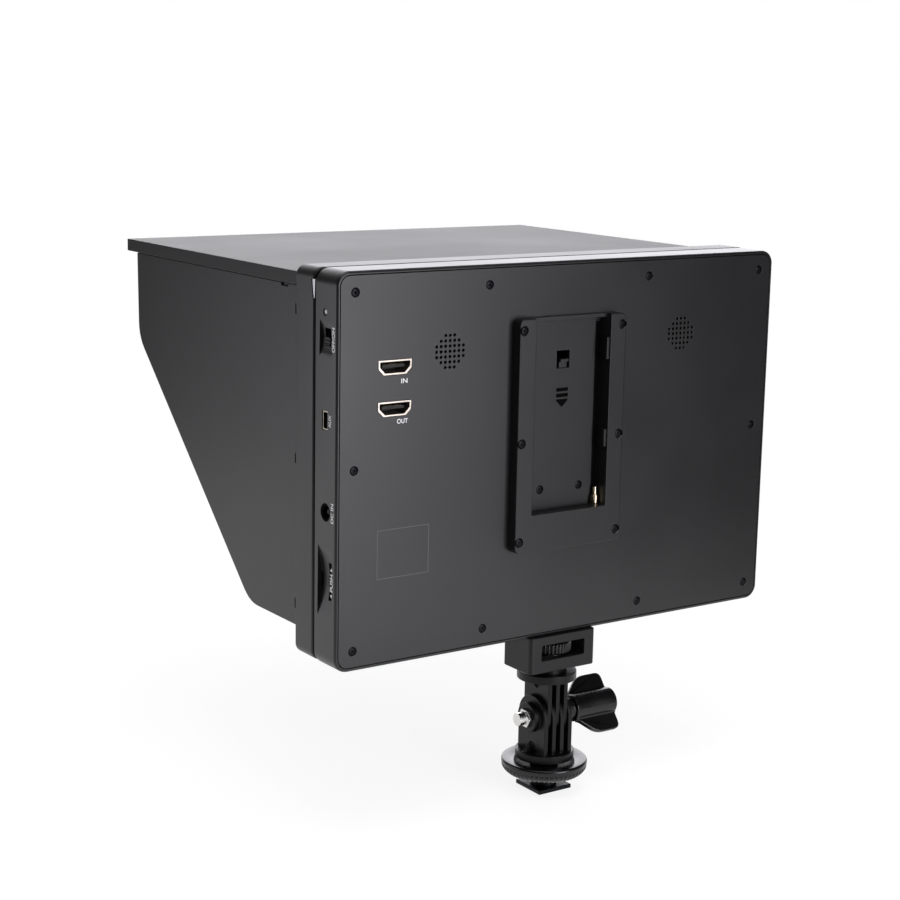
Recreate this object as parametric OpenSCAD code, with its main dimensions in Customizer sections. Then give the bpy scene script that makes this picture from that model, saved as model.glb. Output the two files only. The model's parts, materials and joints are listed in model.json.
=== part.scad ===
// Camera field monitor with a folding sun hood, on a tilting shoe adapter.
// The screen faces -Y, the back faces +Y, the side controls face +X and Z is up.
// The origin is the centre of the shoe foot's underside.

/* [Monitor housing] */
// Width of the housing
body_w = 242.4; // [240:0.2:250]
// Height of the housing
body_h = 171.4; // [169:0.2:176]
// Corner radius seen from the back
body_r = 6.5; // [6:0.5:9]
// Depth of the housing, from the back face to the hood seam
housing_d = 17.8; // [17.6:0.2:19]
// Thickness of the housing wall
wall = 2.4; // [2.2:0.1:2.8]
// Width of the rim that the housing shows round the rear cover
rim_w = 1.5; // [1.3:0.1:1.7]
// Thickness of the rear cover
cover_t = 2.5; // [2.2:0.1:2.8]
// Groove between the rear cover and the rim
cover_gap = 0.3; // [0.2:0.05:0.4]
// Distance from the adapter's axis to the back face
axis_inset = 10.2; // [10:0.1:10.4]

/* [Cover screws] */
// Distance of the outer screws from the housing's edge
screw_edge = 8.9; // [8.4:0.1:9.2]
// Distance of the inner screw columns from the housing's side
screw_inset = 76.6; // [73:0.2:80]
// Height of the side screws above the housing's middle
screw_side_z = 1.9; // [0:0.1:4]
// Radius of a screw's shank
shank_r = 1.2; // [1.1:0.05:1.3]
// Radius of a screw's head
head_r = 1.9; // [1.8:0.05:2]
// Height of a screw's head
head_h = 1.2; // [1:0.1:1.3]
// Length of a cover screw under its head
cover_screw_len = 7; // [6:0.5:8]
// Radius of the bosses that take the cover screws
boss_r = 3.4; // [3.2:0.1:3.6]

/* [Screen] */
// Distance of the visible screen from the housing's sides
screen_side = 11.8; // [11:0.1:12.5]
// Distance of the visible screen from the housing's top and underside
screen_edge = 17; // [15.75:0.05:17.5]
// How far the display panel reaches past the visible screen at each side
panel_side = 5.35; // [4.6:0.05:5.6]
// How far the display panel reaches past the visible screen above and below
panel_edge = 5.8; // [4.8:0.1:6]
// Depth of the bezel in front of the housing
bezel_d = 5; // [4.8:0.1:5.6]
// Thickness of the bezel's front
bezel_t = 2; // [1.8:0.1:2.2]
// Thickness of the cover glass
glass_t = 1; // [0.8:0.1:1.1]
// Thickness of the display panel
panel_t = 2.4; // [2.2:0.1:2.6]
// Thickness of the backlight
light_t = 2.4; // [2.2:0.1:2.6]
// Thickness of the sheet metal bracket
bracket_t = 0.8; // [0.7:0.1:0.9]
// Play round the display panel
panel_play = 0.2; // [0.1:0.05:0.3]

/* [Sun hood] */
// Width of the seam between the housing and the hood frame
seam_w = 1.3; // [1:0.1:1.5]
// Depth of that seam
seam_d = 1.6; // [1.5:0.1:1.8]
// Depth of the hood frame, from the seam to its front
frame_d = 14.7; // [14.4:0.1:17]
// Wall of the hood frame
frame_wall = 5; // [4.8:0.1:5.4]
// Corner radius of the hood frame
frame_r = 4.5; // [4:0.5:6]
// How much lower than the housing the hood frame is
frame_drop = 1; // [0.6:0.1:1.2]
// Thickness of the flange that holds the hood to the bezel
flange_t = 2; // [1.8:0.1:2.4]
// Length of the lid, from the frame to its lip
lid_len = 169.7; // [150:0.1:175]
// How far the lid's edges lie inside the frame's sides
lid_side = 0.7; // [0:0.1:1]
// How far the lid lies below the top of the frame
lid_drop = 3; // [2:0.1:3.4]
// Thickness of the lid
lid_t = 1.8; // [1.6:0.1:2]
// Depth of the lid's skirt
skirt_d = 5.8; // [5.4:0.1:6]
// Thickness of the lid's skirt
skirt_t = 1.4; // [1.2:0.1:1.5]
// Radius of the lid's hinge barrel
lid_barrel_r = 3; // [2.9:0.05:3.05]
// Radius of the lid's hinge pins
lid_pin_r = 1; // [0.8:0.1:1.2]
// Thickness of the side flaps
flap_t = 1.8; // [1.6:0.1:1.9]
// Length of a side flap from its hinge
flap_len = 159.9; // [140:0.1:165]
// How much shorter than the housing a side flap is
flap_short = 21.5; // [20.5:0.5:24]
// Height of the flap's front edge, down to its slanted edge
flap_front = 41.5; // [36:0.5:60]
// Length of the flap's lower edge, out to its slanted edge
flap_foot = 44.1; // [30:0.1:50]
// Length that the flap's two outer corners are rounded over
flap_round = 7.5; // [5:0.5:9]
// Radius of the flaps' hinge barrels
flap_barrel_r = 1.95; // [1.9:0.05:2]
// Radius of the flaps' hinge pins
flap_pin_r = 0.8; // [0.7:0.05:0.9]
// Gap between hood parts that move past each other
hood_gap = 0.25; // [0.2:0.05:0.3]

/* [Battery plate] */
// Width of the plate
plate_w = 59.2; // [58:0.2:62]
// Height of the plate
plate_h = 105.2; // [102:0.2:108]
// How far the plate stands out of the back face
plate_d = 5.6; // [5.2:0.1:6]
// Corner radius of the plate
plate_r = 3; // [2:0.2:4]
// Sideways offset of the plate
plate_x = 2.2; // [0:0.1:3]
// Height of the plate's middle above the housing's middle
plate_z = 8.95; // [6:0.05:9.5]
// Width of the battery channel
channel_w = 41.8; // [41:0.2:43]
// Height of the channel's floor
channel_h = 86.2; // [84:0.2:87]
// Depth of the channel's floor below the back face
channel_d = 2.1; // [1.8:0.1:2.4]
// Thickness of the channel's floor
floor_t = 2; // [1.8:0.1:2.2]
// Height of the step above the channel's floor, seen from the side
step_rise = 2; // [1.6:0.1:2.4]
// Height of the step over the channel
step_h = 1.9; // [1.6:0.1:2.2]
// Distance of the plate's screws from its edge
plate_screw_edge = 2.4; // [2.2:0.1:2.6]
// Distance between the upper and the middle plate screws
plate_screw_up = 50.1; // [48:0.1:52]
// Distance between the middle and the lower plate screws
plate_screw_down = 44.7; // [43:0.1:46]
// Half the distance between the two floor screws
floor_screw_x = 11; // [9:0.5:13]
// Height of the floor screws above the channel's lower end
floor_screw_z = 9.3; // [8:0.1:12]
// Half the distance between the two battery contacts
contact_x = 19.1; // [16:0.1:19.1]
// Radius of a contact's tip
contact_r = 1; // [0.8:0.05:1.1]
// Height of a contact above the channel's lower end
contact_h = 8; // [6:0.5:10]

/* [Battery catch] */
// Width of the window in the channel's floor
catch_window_w = 7.2; // [6.8:0.1:7.6]
// Height of the window in the channel's floor
catch_window_h = 8.1; // [7.6:0.1:8.6]
// Height of the window's lower edge above the channel's lower end
catch_z = 63.8; // [60:0.2:66]
// Width of the catch
catch_w = 4.3; // [4:0.1:4.6]
// Height of the catch
catch_h = 4.4; // [4:0.1:4.8]
// How far the catch stands out of the floor
catch_rise = 1.3; // [1:0.1:1.5]
// Radius of the catch's pin
catch_pin_r = 0.6; // [0.5:0.05:0.65]

/* [Sockets on the back] */
// Distance of the video sockets from the housing's side
video_side = 28.7; // [27:0.1:30]
// Height of the video input above the housing's middle
video_in_z = 44.4; // [43:0.2:46]
// Height of the video output above the housing's middle
video_out_z = 26.7; // [25:0.1:28]
// Width of a video socket's rim
video_w = 16.5; // [16:0.1:17]
// Height of a video socket's rim
video_h = 6.4; // [6:0.1:6.8]
// Chamfer of a video socket's lower corners
video_chamfer = 2.6; // [2.4:0.1:2.8]
// Thickness of a socket's metal shell
shell_t = 0.5; // [0.4:0.05:0.6]

/* [Speakers] */
// Distance of the speakers from the housing's sides
speaker_side = 56.4; // [55:0.2:59]
// Height of the speakers above the housing's middle
speaker_z = 49.3; // [48:0.1:51]
// Radius of a speaker
speaker_r = 13.6; // [12:0.2:13.8]
// Thickness of a speaker
speaker_t = 4.5; // [4:0.1:5]
// Distance between the holes of a grille
hole_pitch = 2.3; // [2.1:0.05:2.35]
// Radius of a hole in a grille
hole_r = 0.65; // [0.55:0.05:0.7]

/* [Side controls] */
// Distance of the status lamp below the housing's top
lamp_down = 17.5; // [16.5:0.1:18]
// Radius of the status lamp
lamp_r = 1; // [0.8:0.1:1.1]
// Distance of the power switch below the housing's top
switch_down = 28.5; // [27.5:0.1:30]
// Length of the power switch's recess
switch_recess_l = 15.5; // [14:0.5:16]
// Depth of the power switch's recess
switch_recess_d = 1.6; // [1.4:0.1:1.8]
// Length of the power switch's slot
switch_slot_l = 7.4; // [7.2:0.1:7.8]
// Travel of the power switch
switch_travel = 3.2; // [3:0.1:3.4]
// Length of the power switch's knob
switch_knob_l = 3.4; // [3.2:0.1:3.5]
// Width of the power switch's knob
switch_knob_w = 4.4; // [4:0.1:4.6]
// Height of the data socket above the housing's middle
data_z = 22.7; // [21:0.1:24]
// Height of the power inlet below the housing's middle
inlet_z = 16.5; // [15:0.1:18]
// Radius of the power inlet's hole
inlet_r = 3.9; // [3.8:0.05:4]
// Radius of the power inlet's bore
inlet_bore_r = 2.8; // [2.7:0.05:2.9]
// Radius of the power inlet's pin
inlet_pin_r = 1.05; // [1:0.05:1.1]
// Distance of the dial above the housing's underside
dial_up = 38.8; // [37.5:0.1:40]
// Length of the dial's recess
dial_recess_l = 31; // [29:0.5:32]
// Depth of the dial's recess
dial_recess_d = 2.5; // [2.3:0.1:2.7]
// Length of the dial's slot
dial_slot_l = 16.4; // [16.2:0.1:17]
// Radius of the dial
dial_r = 9; // [8.8:0.1:9.1]
// Thickness of the dial
dial_t = 3.6; // [3.4:0.1:3.8]
// Travel of the dial when it is pushed
dial_travel = 0.8; // [0.6:0.1:0.9]

/* [Adapter block] */
// Width of the block
block_w = 37.2; // [34:0.2:38]
// Depth of the block
block_d = 21.6; // [21:0.2:22]
// Height of the block
block_h = 17.15; // [17:0.05:18.6]
// Offset of the block towards the back
block_y = 1.3; // [0:0.1:1.6]
// Corner radius of the block
block_r = 2; // [1:0.2:3]
// Width of the window for the thumbwheel
window_w = 24.4; // [24:0.2:26]
// Height of the window for the thumbwheel
window_h = 7.2; // [7:0.1:7.4]
// Height of the window's lower edge above the block's underside
window_z = 5.8; // [5.7:0.1:6.2]
// Radius of the thumbwheel
wheel_r = 11.2; // [11:0.1:11.6]
// Thickness of the thumbwheel
wheel_t = 5.4; // [5:0.1:5.8]
// Number of grooves round the thumbwheel
wheel_grooves = 30; // [24:2:36]
// Radius of the tripod screw
tripod_r = 3.175; // [3.1:0.025:3.2]
// Depth to which the tripod screw enters the monitor
tripod_l = 5.5; // [4.5:0.5:6]

/* [Tilting fork] */
// Height of the tilt axis
pivot_h = 35.5; // [34:0.1:36]
// Distance from the tilt axis to the disc above it
head_rise = 18.3; // [17:0.1:20]
// Radius of the upper disc
disc_r = 13.9; // [13:0.1:15]
// Thickness of the upper disc
disc_t = 3.8; // [3:0.1:4.2]
// Radius of the neck over the disc
neck_r = 9.5; // [9:0.1:10]
// Height of the neck over the disc
neck_h = 2.8; // [2:0.1:3.2]
// Thickness of a prong
prong_t = 2.2; // [2:0.05:2.3]
// Gap between two prongs of the lower fork
prong_gap = 2.4; // [2.35:0.05:2.6]
// Radius of the upper fork's round end
head_r_end = 9.35; // [9:0.05:9.6]
// Radius of the lower fork's round end
fork_r_end = 10.3; // [10:0.1:10.6]
// Radius of the tilt bolt
bolt_r = 2.5; // [2.4:0.05:2.6]
// Radius of the round boss beside the lower fork
fork_boss_r = 7; // [6.6:0.1:7.4]
// Width of the nut across its flats
nut_w = 8; // [7.8:0.1:8.2]
// Length of the nut's hexagon
nut_t = 4; // [3.6:0.1:4.4]
// Radius of the nut's round end
nut_dome_r = 3.1; // [3:0.05:3.2]
// Length of the nut's round end
nut_dome_l = 4; // [3:0.2:5]

/* [Wing knob] */
// Radius of the knob's hub
hub_r = 6.4; // [6:0.1:6.8]
// Length of the knob's hub
hub_l = 24; // [20:0.5:28]
// Radius of the knob's neck
knob_neck_r = 4.9; // [4.6:0.1:5.2]
// Length of the knob's neck
knob_neck_l = 4; // [3:0.2:5]
// Reach of the wings from the axis
wing_reach = 14.4; // [13:0.2:14.6]
// Thickness of the wings
wing_t = 2.6; // [2.2:0.1:3]
// Lean of the wings from the vertical
wing_lean = 38; // [0:1:90]

/* [Shoe] */
// Side of the shoe foot
foot_w = 18.6; // [18.2:0.1:18.6]
// Thickness of the shoe foot
foot_t = 2; // [1.9:0.05:2]
// Radius of the foot's stem
stem_r = 6.25; // [6:0.05:6.5]
// Height of the lock ring above the foot's underside
ring_z = 7.8; // [6:0.1:8]
// Height of the lock ring
ring_h = 6.6; // [6:0.1:7]
// Radius of the lock ring
ring_r = 20.2; // [18:0.1:20.5]
// Number of grooves round the lock ring
ring_grooves = 44; // [36:2:52]
// Radius of the fork's round base
base_r = 13.8; // [13:0.1:15]
// Thickness of the fork's round base
base_t = 3.7; // [3:0.1:4]

/* [Fits] */
// Radial clearance of a running fit
run_fit = 0.05; // [0.03:0.01:0.08]
// Clearance between prongs, knobs and discs that turn past each other
turn_gap = 0.2; // [0.1:0.05:0.3]
// Clearance round a part that is let into another
let_in = 0.1; // [0.05:0.05:0.15]

/* [Hidden] */
$fn = 48;

// Heights of the adapter's stack, from the shoe up to the monitor's underside
base_z = ring_z + ring_h + 4 * turn_gap;
disc_z = pivot_h + head_rise;
neck_z = disc_z + disc_t;
block_z = neck_z + neck_h;
body_z = block_z + block_h;
mid_z = body_z + body_h / 2;

// Depths of the monitor's layers, from the back face to the hood's front
back_y = axis_inset;
cover_in_y = back_y - cover_t;
front_y = back_y - housing_d;
bezel_y = front_y - bezel_d;
glass_y = bezel_y + bezel_t;
panel_y = glass_y + glass_t;
light_y = panel_y + panel_t;
bracket_y = light_y + light_t;
board_t = 1.6;
pad_h = 0.4;
board_y = bracket_y + bracket_t + pad_h + board_t;
frame_back_y = front_y - seam_w;
frame_y = frame_back_y - frame_d;
flange_y = bezel_y - flange_t;

// Edges of the housing
side_x = body_w / 2;
screen_w = body_w - 2 * screen_side;
screen_h = body_h - 2 * screen_edge;
panel_w = screen_w + 2 * panel_side;
panel_h = screen_h + 2 * panel_edge;
video_x = side_x - video_side;
speaker_x = side_x - speaker_side;
inner_x = side_x - wall;
pad_t = 3;
pad_x = inner_x - pad_t;
frame_top = body_z + body_h;
frame_h = body_h - frame_drop;
frame_mid_z = mid_z + frame_drop / 2;

// Cover screws: [x, z] measured from the housing's middle
screw_x = side_x - screw_edge;
screw_inner = side_x - screw_inset;
screw_z = body_h / 2 - screw_edge;
COVER_SCREWS = concat(
    [for (sx = [-1, 1], sz = [-1, 1]) [sx * screw_x, sz * screw_z]],
    [for (sx = [-1, 1]) [sx * screw_x, screw_side_z]],
    [for (sx = [-1, 1], sz = [-1, 1]) [sx * screw_inner, sz * screw_z]]);

// Bezel screws sit on tabs in the housing's upper and lower walls
tab_x = side_x - 51;
tab_w = 10;
tab_t = 2;
tab_z = body_h / 2 - 6.2;
bezel_screw_len = 5;

// Hood: hinge axes, and the places of the lugs along them
lid_w = body_w - 2 * lid_side;
flap_h = body_h - flap_short;
lid_top = frame_top - lid_drop;
lid_axis_z = lid_top - lid_barrel_r;
lid_axis_y = frame_y - hood_gap - lid_barrel_r;
lid_front_y = frame_y - lid_len;
lug_w = 6;
lug_pitch = (body_w - 44) / 3;
LID_LUGS = [for (i = [-1.5 : 1.5]) i * lug_pitch];
skirt_in = lid_w / 2 - skirt_t;
flap_axis_x = skirt_in - hood_gap - flap_barrel_r;
flap_axis_y = frame_y - hood_gap - flap_barrel_r;
flap_top = lid_top - skirt_d - 2 * hood_gap;
frame_in_r = 2;
flap_layer = 0.15;
flap_lug_h = 4;
notch_y = 8.7;
notch_w = 6;
notch_d = 1.2;
FLAP_LUGS = [flap_top - 10, flap_top - flap_h / 2, flap_top - flap_h + 10];
hood_screw_x = side_x - 21;
hood_screw_z = screen_h / 2 + 7.7;
hood_screw_len = 5;
clip_h = 8;
clip_z = frame_top - 4.8;
clip_w = 2.4;
clip_tip = 0.8;

// Battery plate, measured from its own middle
plate_mid_z = mid_z + plate_z;
plate_front_y = back_y + plate_d;
channel_floor_y = back_y - channel_d;
tray_y = channel_floor_y - floor_t;
channel_top_z = plate_mid_z + plate_h / 2 - step_h;
channel_low_z = channel_top_z - channel_h;
tray_wall = 1.6;
plate_screw_x = plate_w / 2 - plate_screw_edge;
plate_screw_z = plate_mid_z - 2.5;
PLATE_SCREWS = [for (sx = [-1, 1], dz = [plate_screw_up, 0, -plate_screw_down])
    [plate_x + sx * plate_screw_x, plate_screw_z + dz]];
plate_screw_len = 8;
mark_w = 6.6;
mark_d = 0.5;
mark_z = channel_low_z + 46;
tab_in = 1.1;
tab_out_y = plate_front_y - 1.2;
tab_in_y = plate_front_y - 3;
BATTERY_TABS = [[72.3, 10], [31.3, 8]];
contact_y = channel_floor_y + contact_r + 0.8;
contact_block_h = 6;
contact_block_d = 3.8;
catch_low_z = channel_low_z + catch_z;
catch_axis_y = tray_y - 1.1;
catch_axis_z = catch_low_z - 3;
catch_plate_t = 1.7;
catch_lug_w = 2;
catch_lug_gap = 0.2;
post_w = 5;
floor_screw_len = 6;

// Side controls: their places across the housing's depth
lamp_y = 0.7;
lamp_z = body_h / 2 - lamp_down;
switch_y = 1.1;
switch_z = body_h / 2 - switch_down;
data_w = 8.1;
data_d = 4.4;
data_y = 0.8;
inlet_y = 1.7;
dial_y = 4;
dial_z = body_h / 2 - dial_up;
dial_slot_w = dial_t + 0.8;
dial_stand = 1.1;
dial_axis_x = side_x - dial_recess_d + dial_stand - dial_r;
dial_axle_r = 1.5;
carrier_t = 1;
carrier_w = 8;
board_edge_x = pad_x - 0.2;
io_board_w = video_side + 6.9;
io_board_low = body_z + 18.8;
io_board_high = frame_top - 13.3;
main_board_w = body_w - 92;
main_board_h = body_h - 66.5;
recess_y0 = -3.7;
recess_y1 = 6.7;

// Adapter
post_r = 4;
post_floor = 3;
wheel_z = block_z + window_z + (window_h - wheel_t) / 2;
fork_half = 2 * prong_t + 1.5 * prong_gap;
prong_pitch = prong_t + prong_gap;
boss_l = 3;
boss_left_l = 2.2;
knob_x = -fork_half - boss_left_l - turn_gap;
hub_x = knob_x - knob_neck_l;
bolt_left = hub_x - 12;
bolt_right = fork_half + boss_l + 3;
nut_x = fork_half + 0.6;
spigot_r = 4;
spigot_h = 2;

// Point at the distance d from p towards q
function along(p, q, d) = p + d * (q - p) / norm(q - p);

// Points that round the corner at p, between the edges to a and to b, over the length d
function bend(p, a, b, d, n = 5) = [for (i = [0 : n])
    let (t = i / n)
        (1 - t) * (1 - t) * along(p, a, d) + 2 * t * (1 - t) * p + t * t * along(p, b, d)];

// ---- shared shapes ----

// Rounded rectangle, w along X and h along Y
module round_rect(w, h, r) {
    square([w - 2 * r, h], center = true);
    square([w, h - 2 * r], center = true);
    for (sx = [-1, 1], sy = [-1, 1])
        translate([sx * (w / 2 - r), sy * (h / 2 - r)])
            circle(r);
}

// Rounded slab standing in the XZ plane, from y0 back to y1
module slab(w, h, r, y0, y1, z, x = 0) {
    translate([x, y1, z])
        rotate([90, 0, 0])
            linear_extrude(height = y1 - y0)
                round_rect(w, h, r);
}

// Box between two corners
module box(x0, x1, y0, y1, z0, z1) {
    translate([x0, y0, z0])
        cube([x1 - x0, y1 - y0, z1 - z0]);
}

module rod_x(r, x0, x1, y, z) {
    translate([x0, y, z])
        rotate([0, 90, 0])
            cylinder(r = r, h = x1 - x0);
}

module rod_y(r, y0, y1, x, z) {
    translate([x, y1, z])
        rotate([90, 0, 0])
            cylinder(r = r, h = y1 - y0);
}

module rod_z(r, z0, z1, x, y) {
    translate([x, y, z0])
        cylinder(r = r, h = z1 - z0);
}

// Screw along Y whose head lies from y_head outwards to +Y or, with side = -1, to -Y
module screw(x, z, y_head, len, side = 1) {
    if (side > 0) {
        rod_y(head_r, y_head, y_head + head_h, x, z);
        rod_y(shank_r, y_head - len, y_head, x, z);
    } else {
        rod_y(head_r, y_head - head_h, y_head, x, z);
        rod_y(shank_r, y_head, y_head + len, x, z);
    }
}

// ---- shoe and lower fork ----

module shoe_foot() {
    color("#26262a") {
        translate([-foot_w / 2, -foot_w / 2, 0])
            cube([foot_w, foot_w, foot_t]);
        cylinder(r = stem_r, h = base_z);
        cylinder(r = spigot_r, h = base_z + spigot_h);
    }
}

module lock_ring() {
    edge = 1;
    taper = 2.2;
    color("#2b2b2e")
        difference() {
            translate([0, 0, ring_z])
                rotate_extrude()
                    polygon([
                        [stem_r + run_fit, 0],
                        [ring_r - taper, 0],
                        [ring_r, ring_h * 0.45],
                        [ring_r, ring_h - edge],
                        [ring_r - edge / 2, ring_h],
                        [stem_r + run_fit, ring_h]]);
            for (i = [0 : ring_grooves - 1])
                rotate([0, 0, i * 360 / ring_grooves])
                    translate([ring_r + 0.5, 0, ring_z - 1])
                        cylinder(r = 0.9, h = ring_h - edge + 0.6, $fn = 16);
        }
}

// Flat prong with a round end at the tilt axis, joined to a plate at z_root
module prong(x, r, z_root) {
    rod_x(r, x - prong_t / 2, x + prong_t / 2, 0, pivot_h);
    box(x - prong_t / 2, x + prong_t / 2, -r, r, min(z_root, pivot_h), max(z_root, pivot_h));
}

// Stiffening rib between a fork's outer prong and its plate, growing to +X
module gusset(x, reach, rise) {
    rib_t = 1.6;
    translate([x, rib_t / 2, 0])
        rotate([90, 0, 0])
            linear_extrude(height = rib_t)
                polygon([[-0.2, 0], [reach, 0], [0, rise], [-0.2, rise]]);
}

module fork_base() {
    nut_hole = (nut_w + 2 * let_in) / sqrt(3);
    color("#2a2a2c")
        difference() {
            union() {
                rod_z(base_r, base_z, base_z + base_t, 0, 0);
                for (i = [-1.5 : 1 : 1.5])
                    prong(i * prong_pitch, fork_r_end, base_z + base_t / 2);
                rod_x(fork_boss_r, fork_half - 0.5, fork_half + boss_l, 0, pivot_h);
                rod_x(fork_boss_r, -fork_half - boss_left_l, -fork_half + 0.5, 0, pivot_h);
                for (s = [0, 180])
                    rotate([0, 0, s])
                        translate([0, 0, base_z + base_t - 0.2])
                            gusset(fork_half, 4.6, 5);
            }
            rod_x(bolt_r + run_fit, -side_x, side_x, 0, pivot_h);
            translate([nut_x, 0, pivot_h])
                rotate([0, 90, 0])
                    rotate([0, 0, 30])
                        cylinder(r = nut_hole, h = side_x, $fn = 6);
            rod_z(spigot_r + let_in, base_z - 1, base_z + spigot_h + let_in, 0, 0);
        }
}

module cap_nut() {
    color("#b9babd")
        difference() {
            union() {
                translate([nut_x, 0, pivot_h])
                    rotate([0, 90, 0])
                        rotate([0, 0, 30])
                            cylinder(r = nut_w / sqrt(3), h = nut_t, $fn = 6);
                rod_x(nut_dome_r, nut_x + nut_t - 0.5, nut_x + nut_t + nut_dome_l, 0, pivot_h);
            }
            rod_x(bolt_r + run_fit, nut_x - 1, bolt_right + 0.5, 0, pivot_h);
        }
}

module tilt_bolt() {
    color("#b4b5b8")
        rod_x(bolt_r, bolt_left, bolt_right, 0, pivot_h);
}

module wing_knob() {
    root = [hub_x - 1, hub_r];
    peak = [hub_x - 9.5, wing_reach];
    corner = [hub_x - hub_l + 0.4, wing_reach];
    foot = [hub_x - hub_l + 0.4, hub_r];
    color("#232325")
        difference() {
            union() {
                rod_x(knob_neck_r, hub_x - 0.5, knob_x, 0, pivot_h);
                rod_x(hub_r, hub_x - hub_l, hub_x, 0, pivot_h);
                for (turn = [0, 180])
                    translate([0, 0, pivot_h])
                        rotate([wing_lean + turn, 0, 0])
                            translate([0, wing_t / 2, 0])
                                rotate([90, 0, 0])
                                    linear_extrude(height = wing_t)
                                        polygon(concat(
                                            [[root[0], 0], root],
                                            bend(peak, root, corner, 4),
                                            bend(corner, peak, foot, 3.5),
                                            [foot, [foot[0], 0]]));
            }
            rod_x(bolt_r, bolt_left, 0, 0, pivot_h);
        }
}

// ---- upper fork and block ----

module tilt_head() {
    color("#2c2c2e")
        difference() {
            union() {
                for (i = [-1 : 1])
                    prong(i * prong_pitch, head_r_end, disc_z + disc_t / 2);
                rod_z(disc_r, disc_z, neck_z, 0, 0);
                rod_z(neck_r, neck_z - 0.5, block_z, 0, 0);
                rod_z(post_r, neck_z, block_z + post_floor + turn_gap / 2, 0, 0);
                for (s = [0, 180])
                    rotate([0, 0, s])
                        translate([0, 0, disc_z + 0.2])
                            mirror([0, 0, 1])
                                gusset(prong_pitch + prong_t / 2, 4.6, 5);
            }
            rod_x(bolt_r + run_fit, -side_x, side_x, 0, pivot_h);
            rod_z(shank_r, disc_z + 1, side_x, 0, 0);
        }
}

module swivel_washer() {
    washer_z = block_z + post_floor + turn_gap / 2;
    color("#8f9194")
        difference() {
            rod_z(6.5, washer_z, washer_z + 0.8, 0, 0);
            rod_z(shank_r + let_in, 0, washer_z + 2, 0, 0);
        }
}

module swivel_screw() {
    under_head = block_z + post_floor + turn_gap / 2 + 0.8;
    color("#8f9194") {
        rod_z(head_r + 0.8, under_head, under_head + head_h, 0, 0);
        rod_z(shank_r, under_head - 6, under_head, 0, 0);
    }
}

module adapter_block() {
    well_r = 8;
    color("#333335")
        difference() {
            translate([0, block_y, block_z])
                linear_extrude(height = block_h)
                    round_rect(block_w, block_d, block_r);
            box(-window_w / 2, window_w / 2, -block_d, block_d,
                block_z + window_z, block_z + window_z + window_h);
            rod_z(well_r, block_z + post_floor, block_z + window_z + 1, 0, 0);
            rod_z(post_r + run_fit, block_z - 1, block_z + post_floor + 1, 0, 0);
            rod_z(tripod_r + run_fit, block_z + window_z, body_z + 1, 0, 0);
        }
}

module thumbwheel() {
    groove_r = 0.7;
    color("#1d1d1f")
        difference() {
            rod_z(wheel_r, wheel_z, wheel_z + wheel_t, 0, 0);
            for (i = [0 : wheel_grooves - 1])
                rotate([0, 0, i * 360 / wheel_grooves])
                    translate([wheel_r + 0.3, 0, wheel_z - 1])
                        cylinder(r = groove_r, h = wheel_t + 2, $fn = 16);
            rod_z(tripod_r, wheel_z + 1, body_z, 0, 0);
        }
}

module tripod_screw() {
    color("#a9aaad")
        rod_z(tripod_r, wheel_z + 1, body_z + tripod_l, 0, 0);
}

module tripod_bush() {
    color("#b08d57")
        difference() {
            rod_z(5.2, body_z + 0.2, body_z + tripod_l + 2, 0, 0);
            rod_z(tripod_r + run_fit, 0, body_z + tripod_l + 0.5, 0, 0);
        }
}

// ---- housing and rear cover ----

// Everything that the side wall is cut for
module side_cuts() {
    out_x = side_x + 5;
    recess(switch_z, switch_recess_l, switch_recess_d, recess_y0, recess_y1);
    recess(-dial_z, dial_recess_l, dial_recess_d, recess_y0 - 0.7, recess_y1 + 0.5);
    box(pad_x - 5, out_x, switch_y - switch_knob_w / 2 - 0.2, switch_y + switch_knob_w / 2 + 0.2,
        mid_z + switch_z + 0.5 - switch_slot_l / 2, mid_z + switch_z + 0.5 + switch_slot_l / 2);
    box(pad_x - 5, out_x, dial_y - dial_slot_w / 2, dial_y + dial_slot_w / 2,
        mid_z - dial_z - dial_slot_l / 2, mid_z - dial_z + dial_slot_l / 2);
    box(inner_x - 5, out_x, data_y - data_d / 2, data_y + data_d / 2,
        mid_z + data_z - data_w / 2, mid_z + data_z + data_w / 2);
    rod_x(inlet_r, inner_x - 5, out_x, inlet_y, mid_z - inlet_z);
    rod_x(lamp_r + let_in, inner_x - 5, out_x, lamp_y, mid_z + lamp_z);
    rod_x(lamp_r + 0.6, side_x - 0.6, out_x, lamp_y, mid_z + lamp_z);
}

// Scooped finger recess of length l and depth d in the side wall
module recess(dz, l, d, y0, y1) {
    scoop_r = (l * l / 4 + d * d) / (2 * d);
    translate([side_x - d + scoop_r, y1, mid_z + dz])
        rotate([90, 0, 0])
            cylinder(r = scoop_r, h = y1 - y0, $fn = 96);
}

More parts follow.
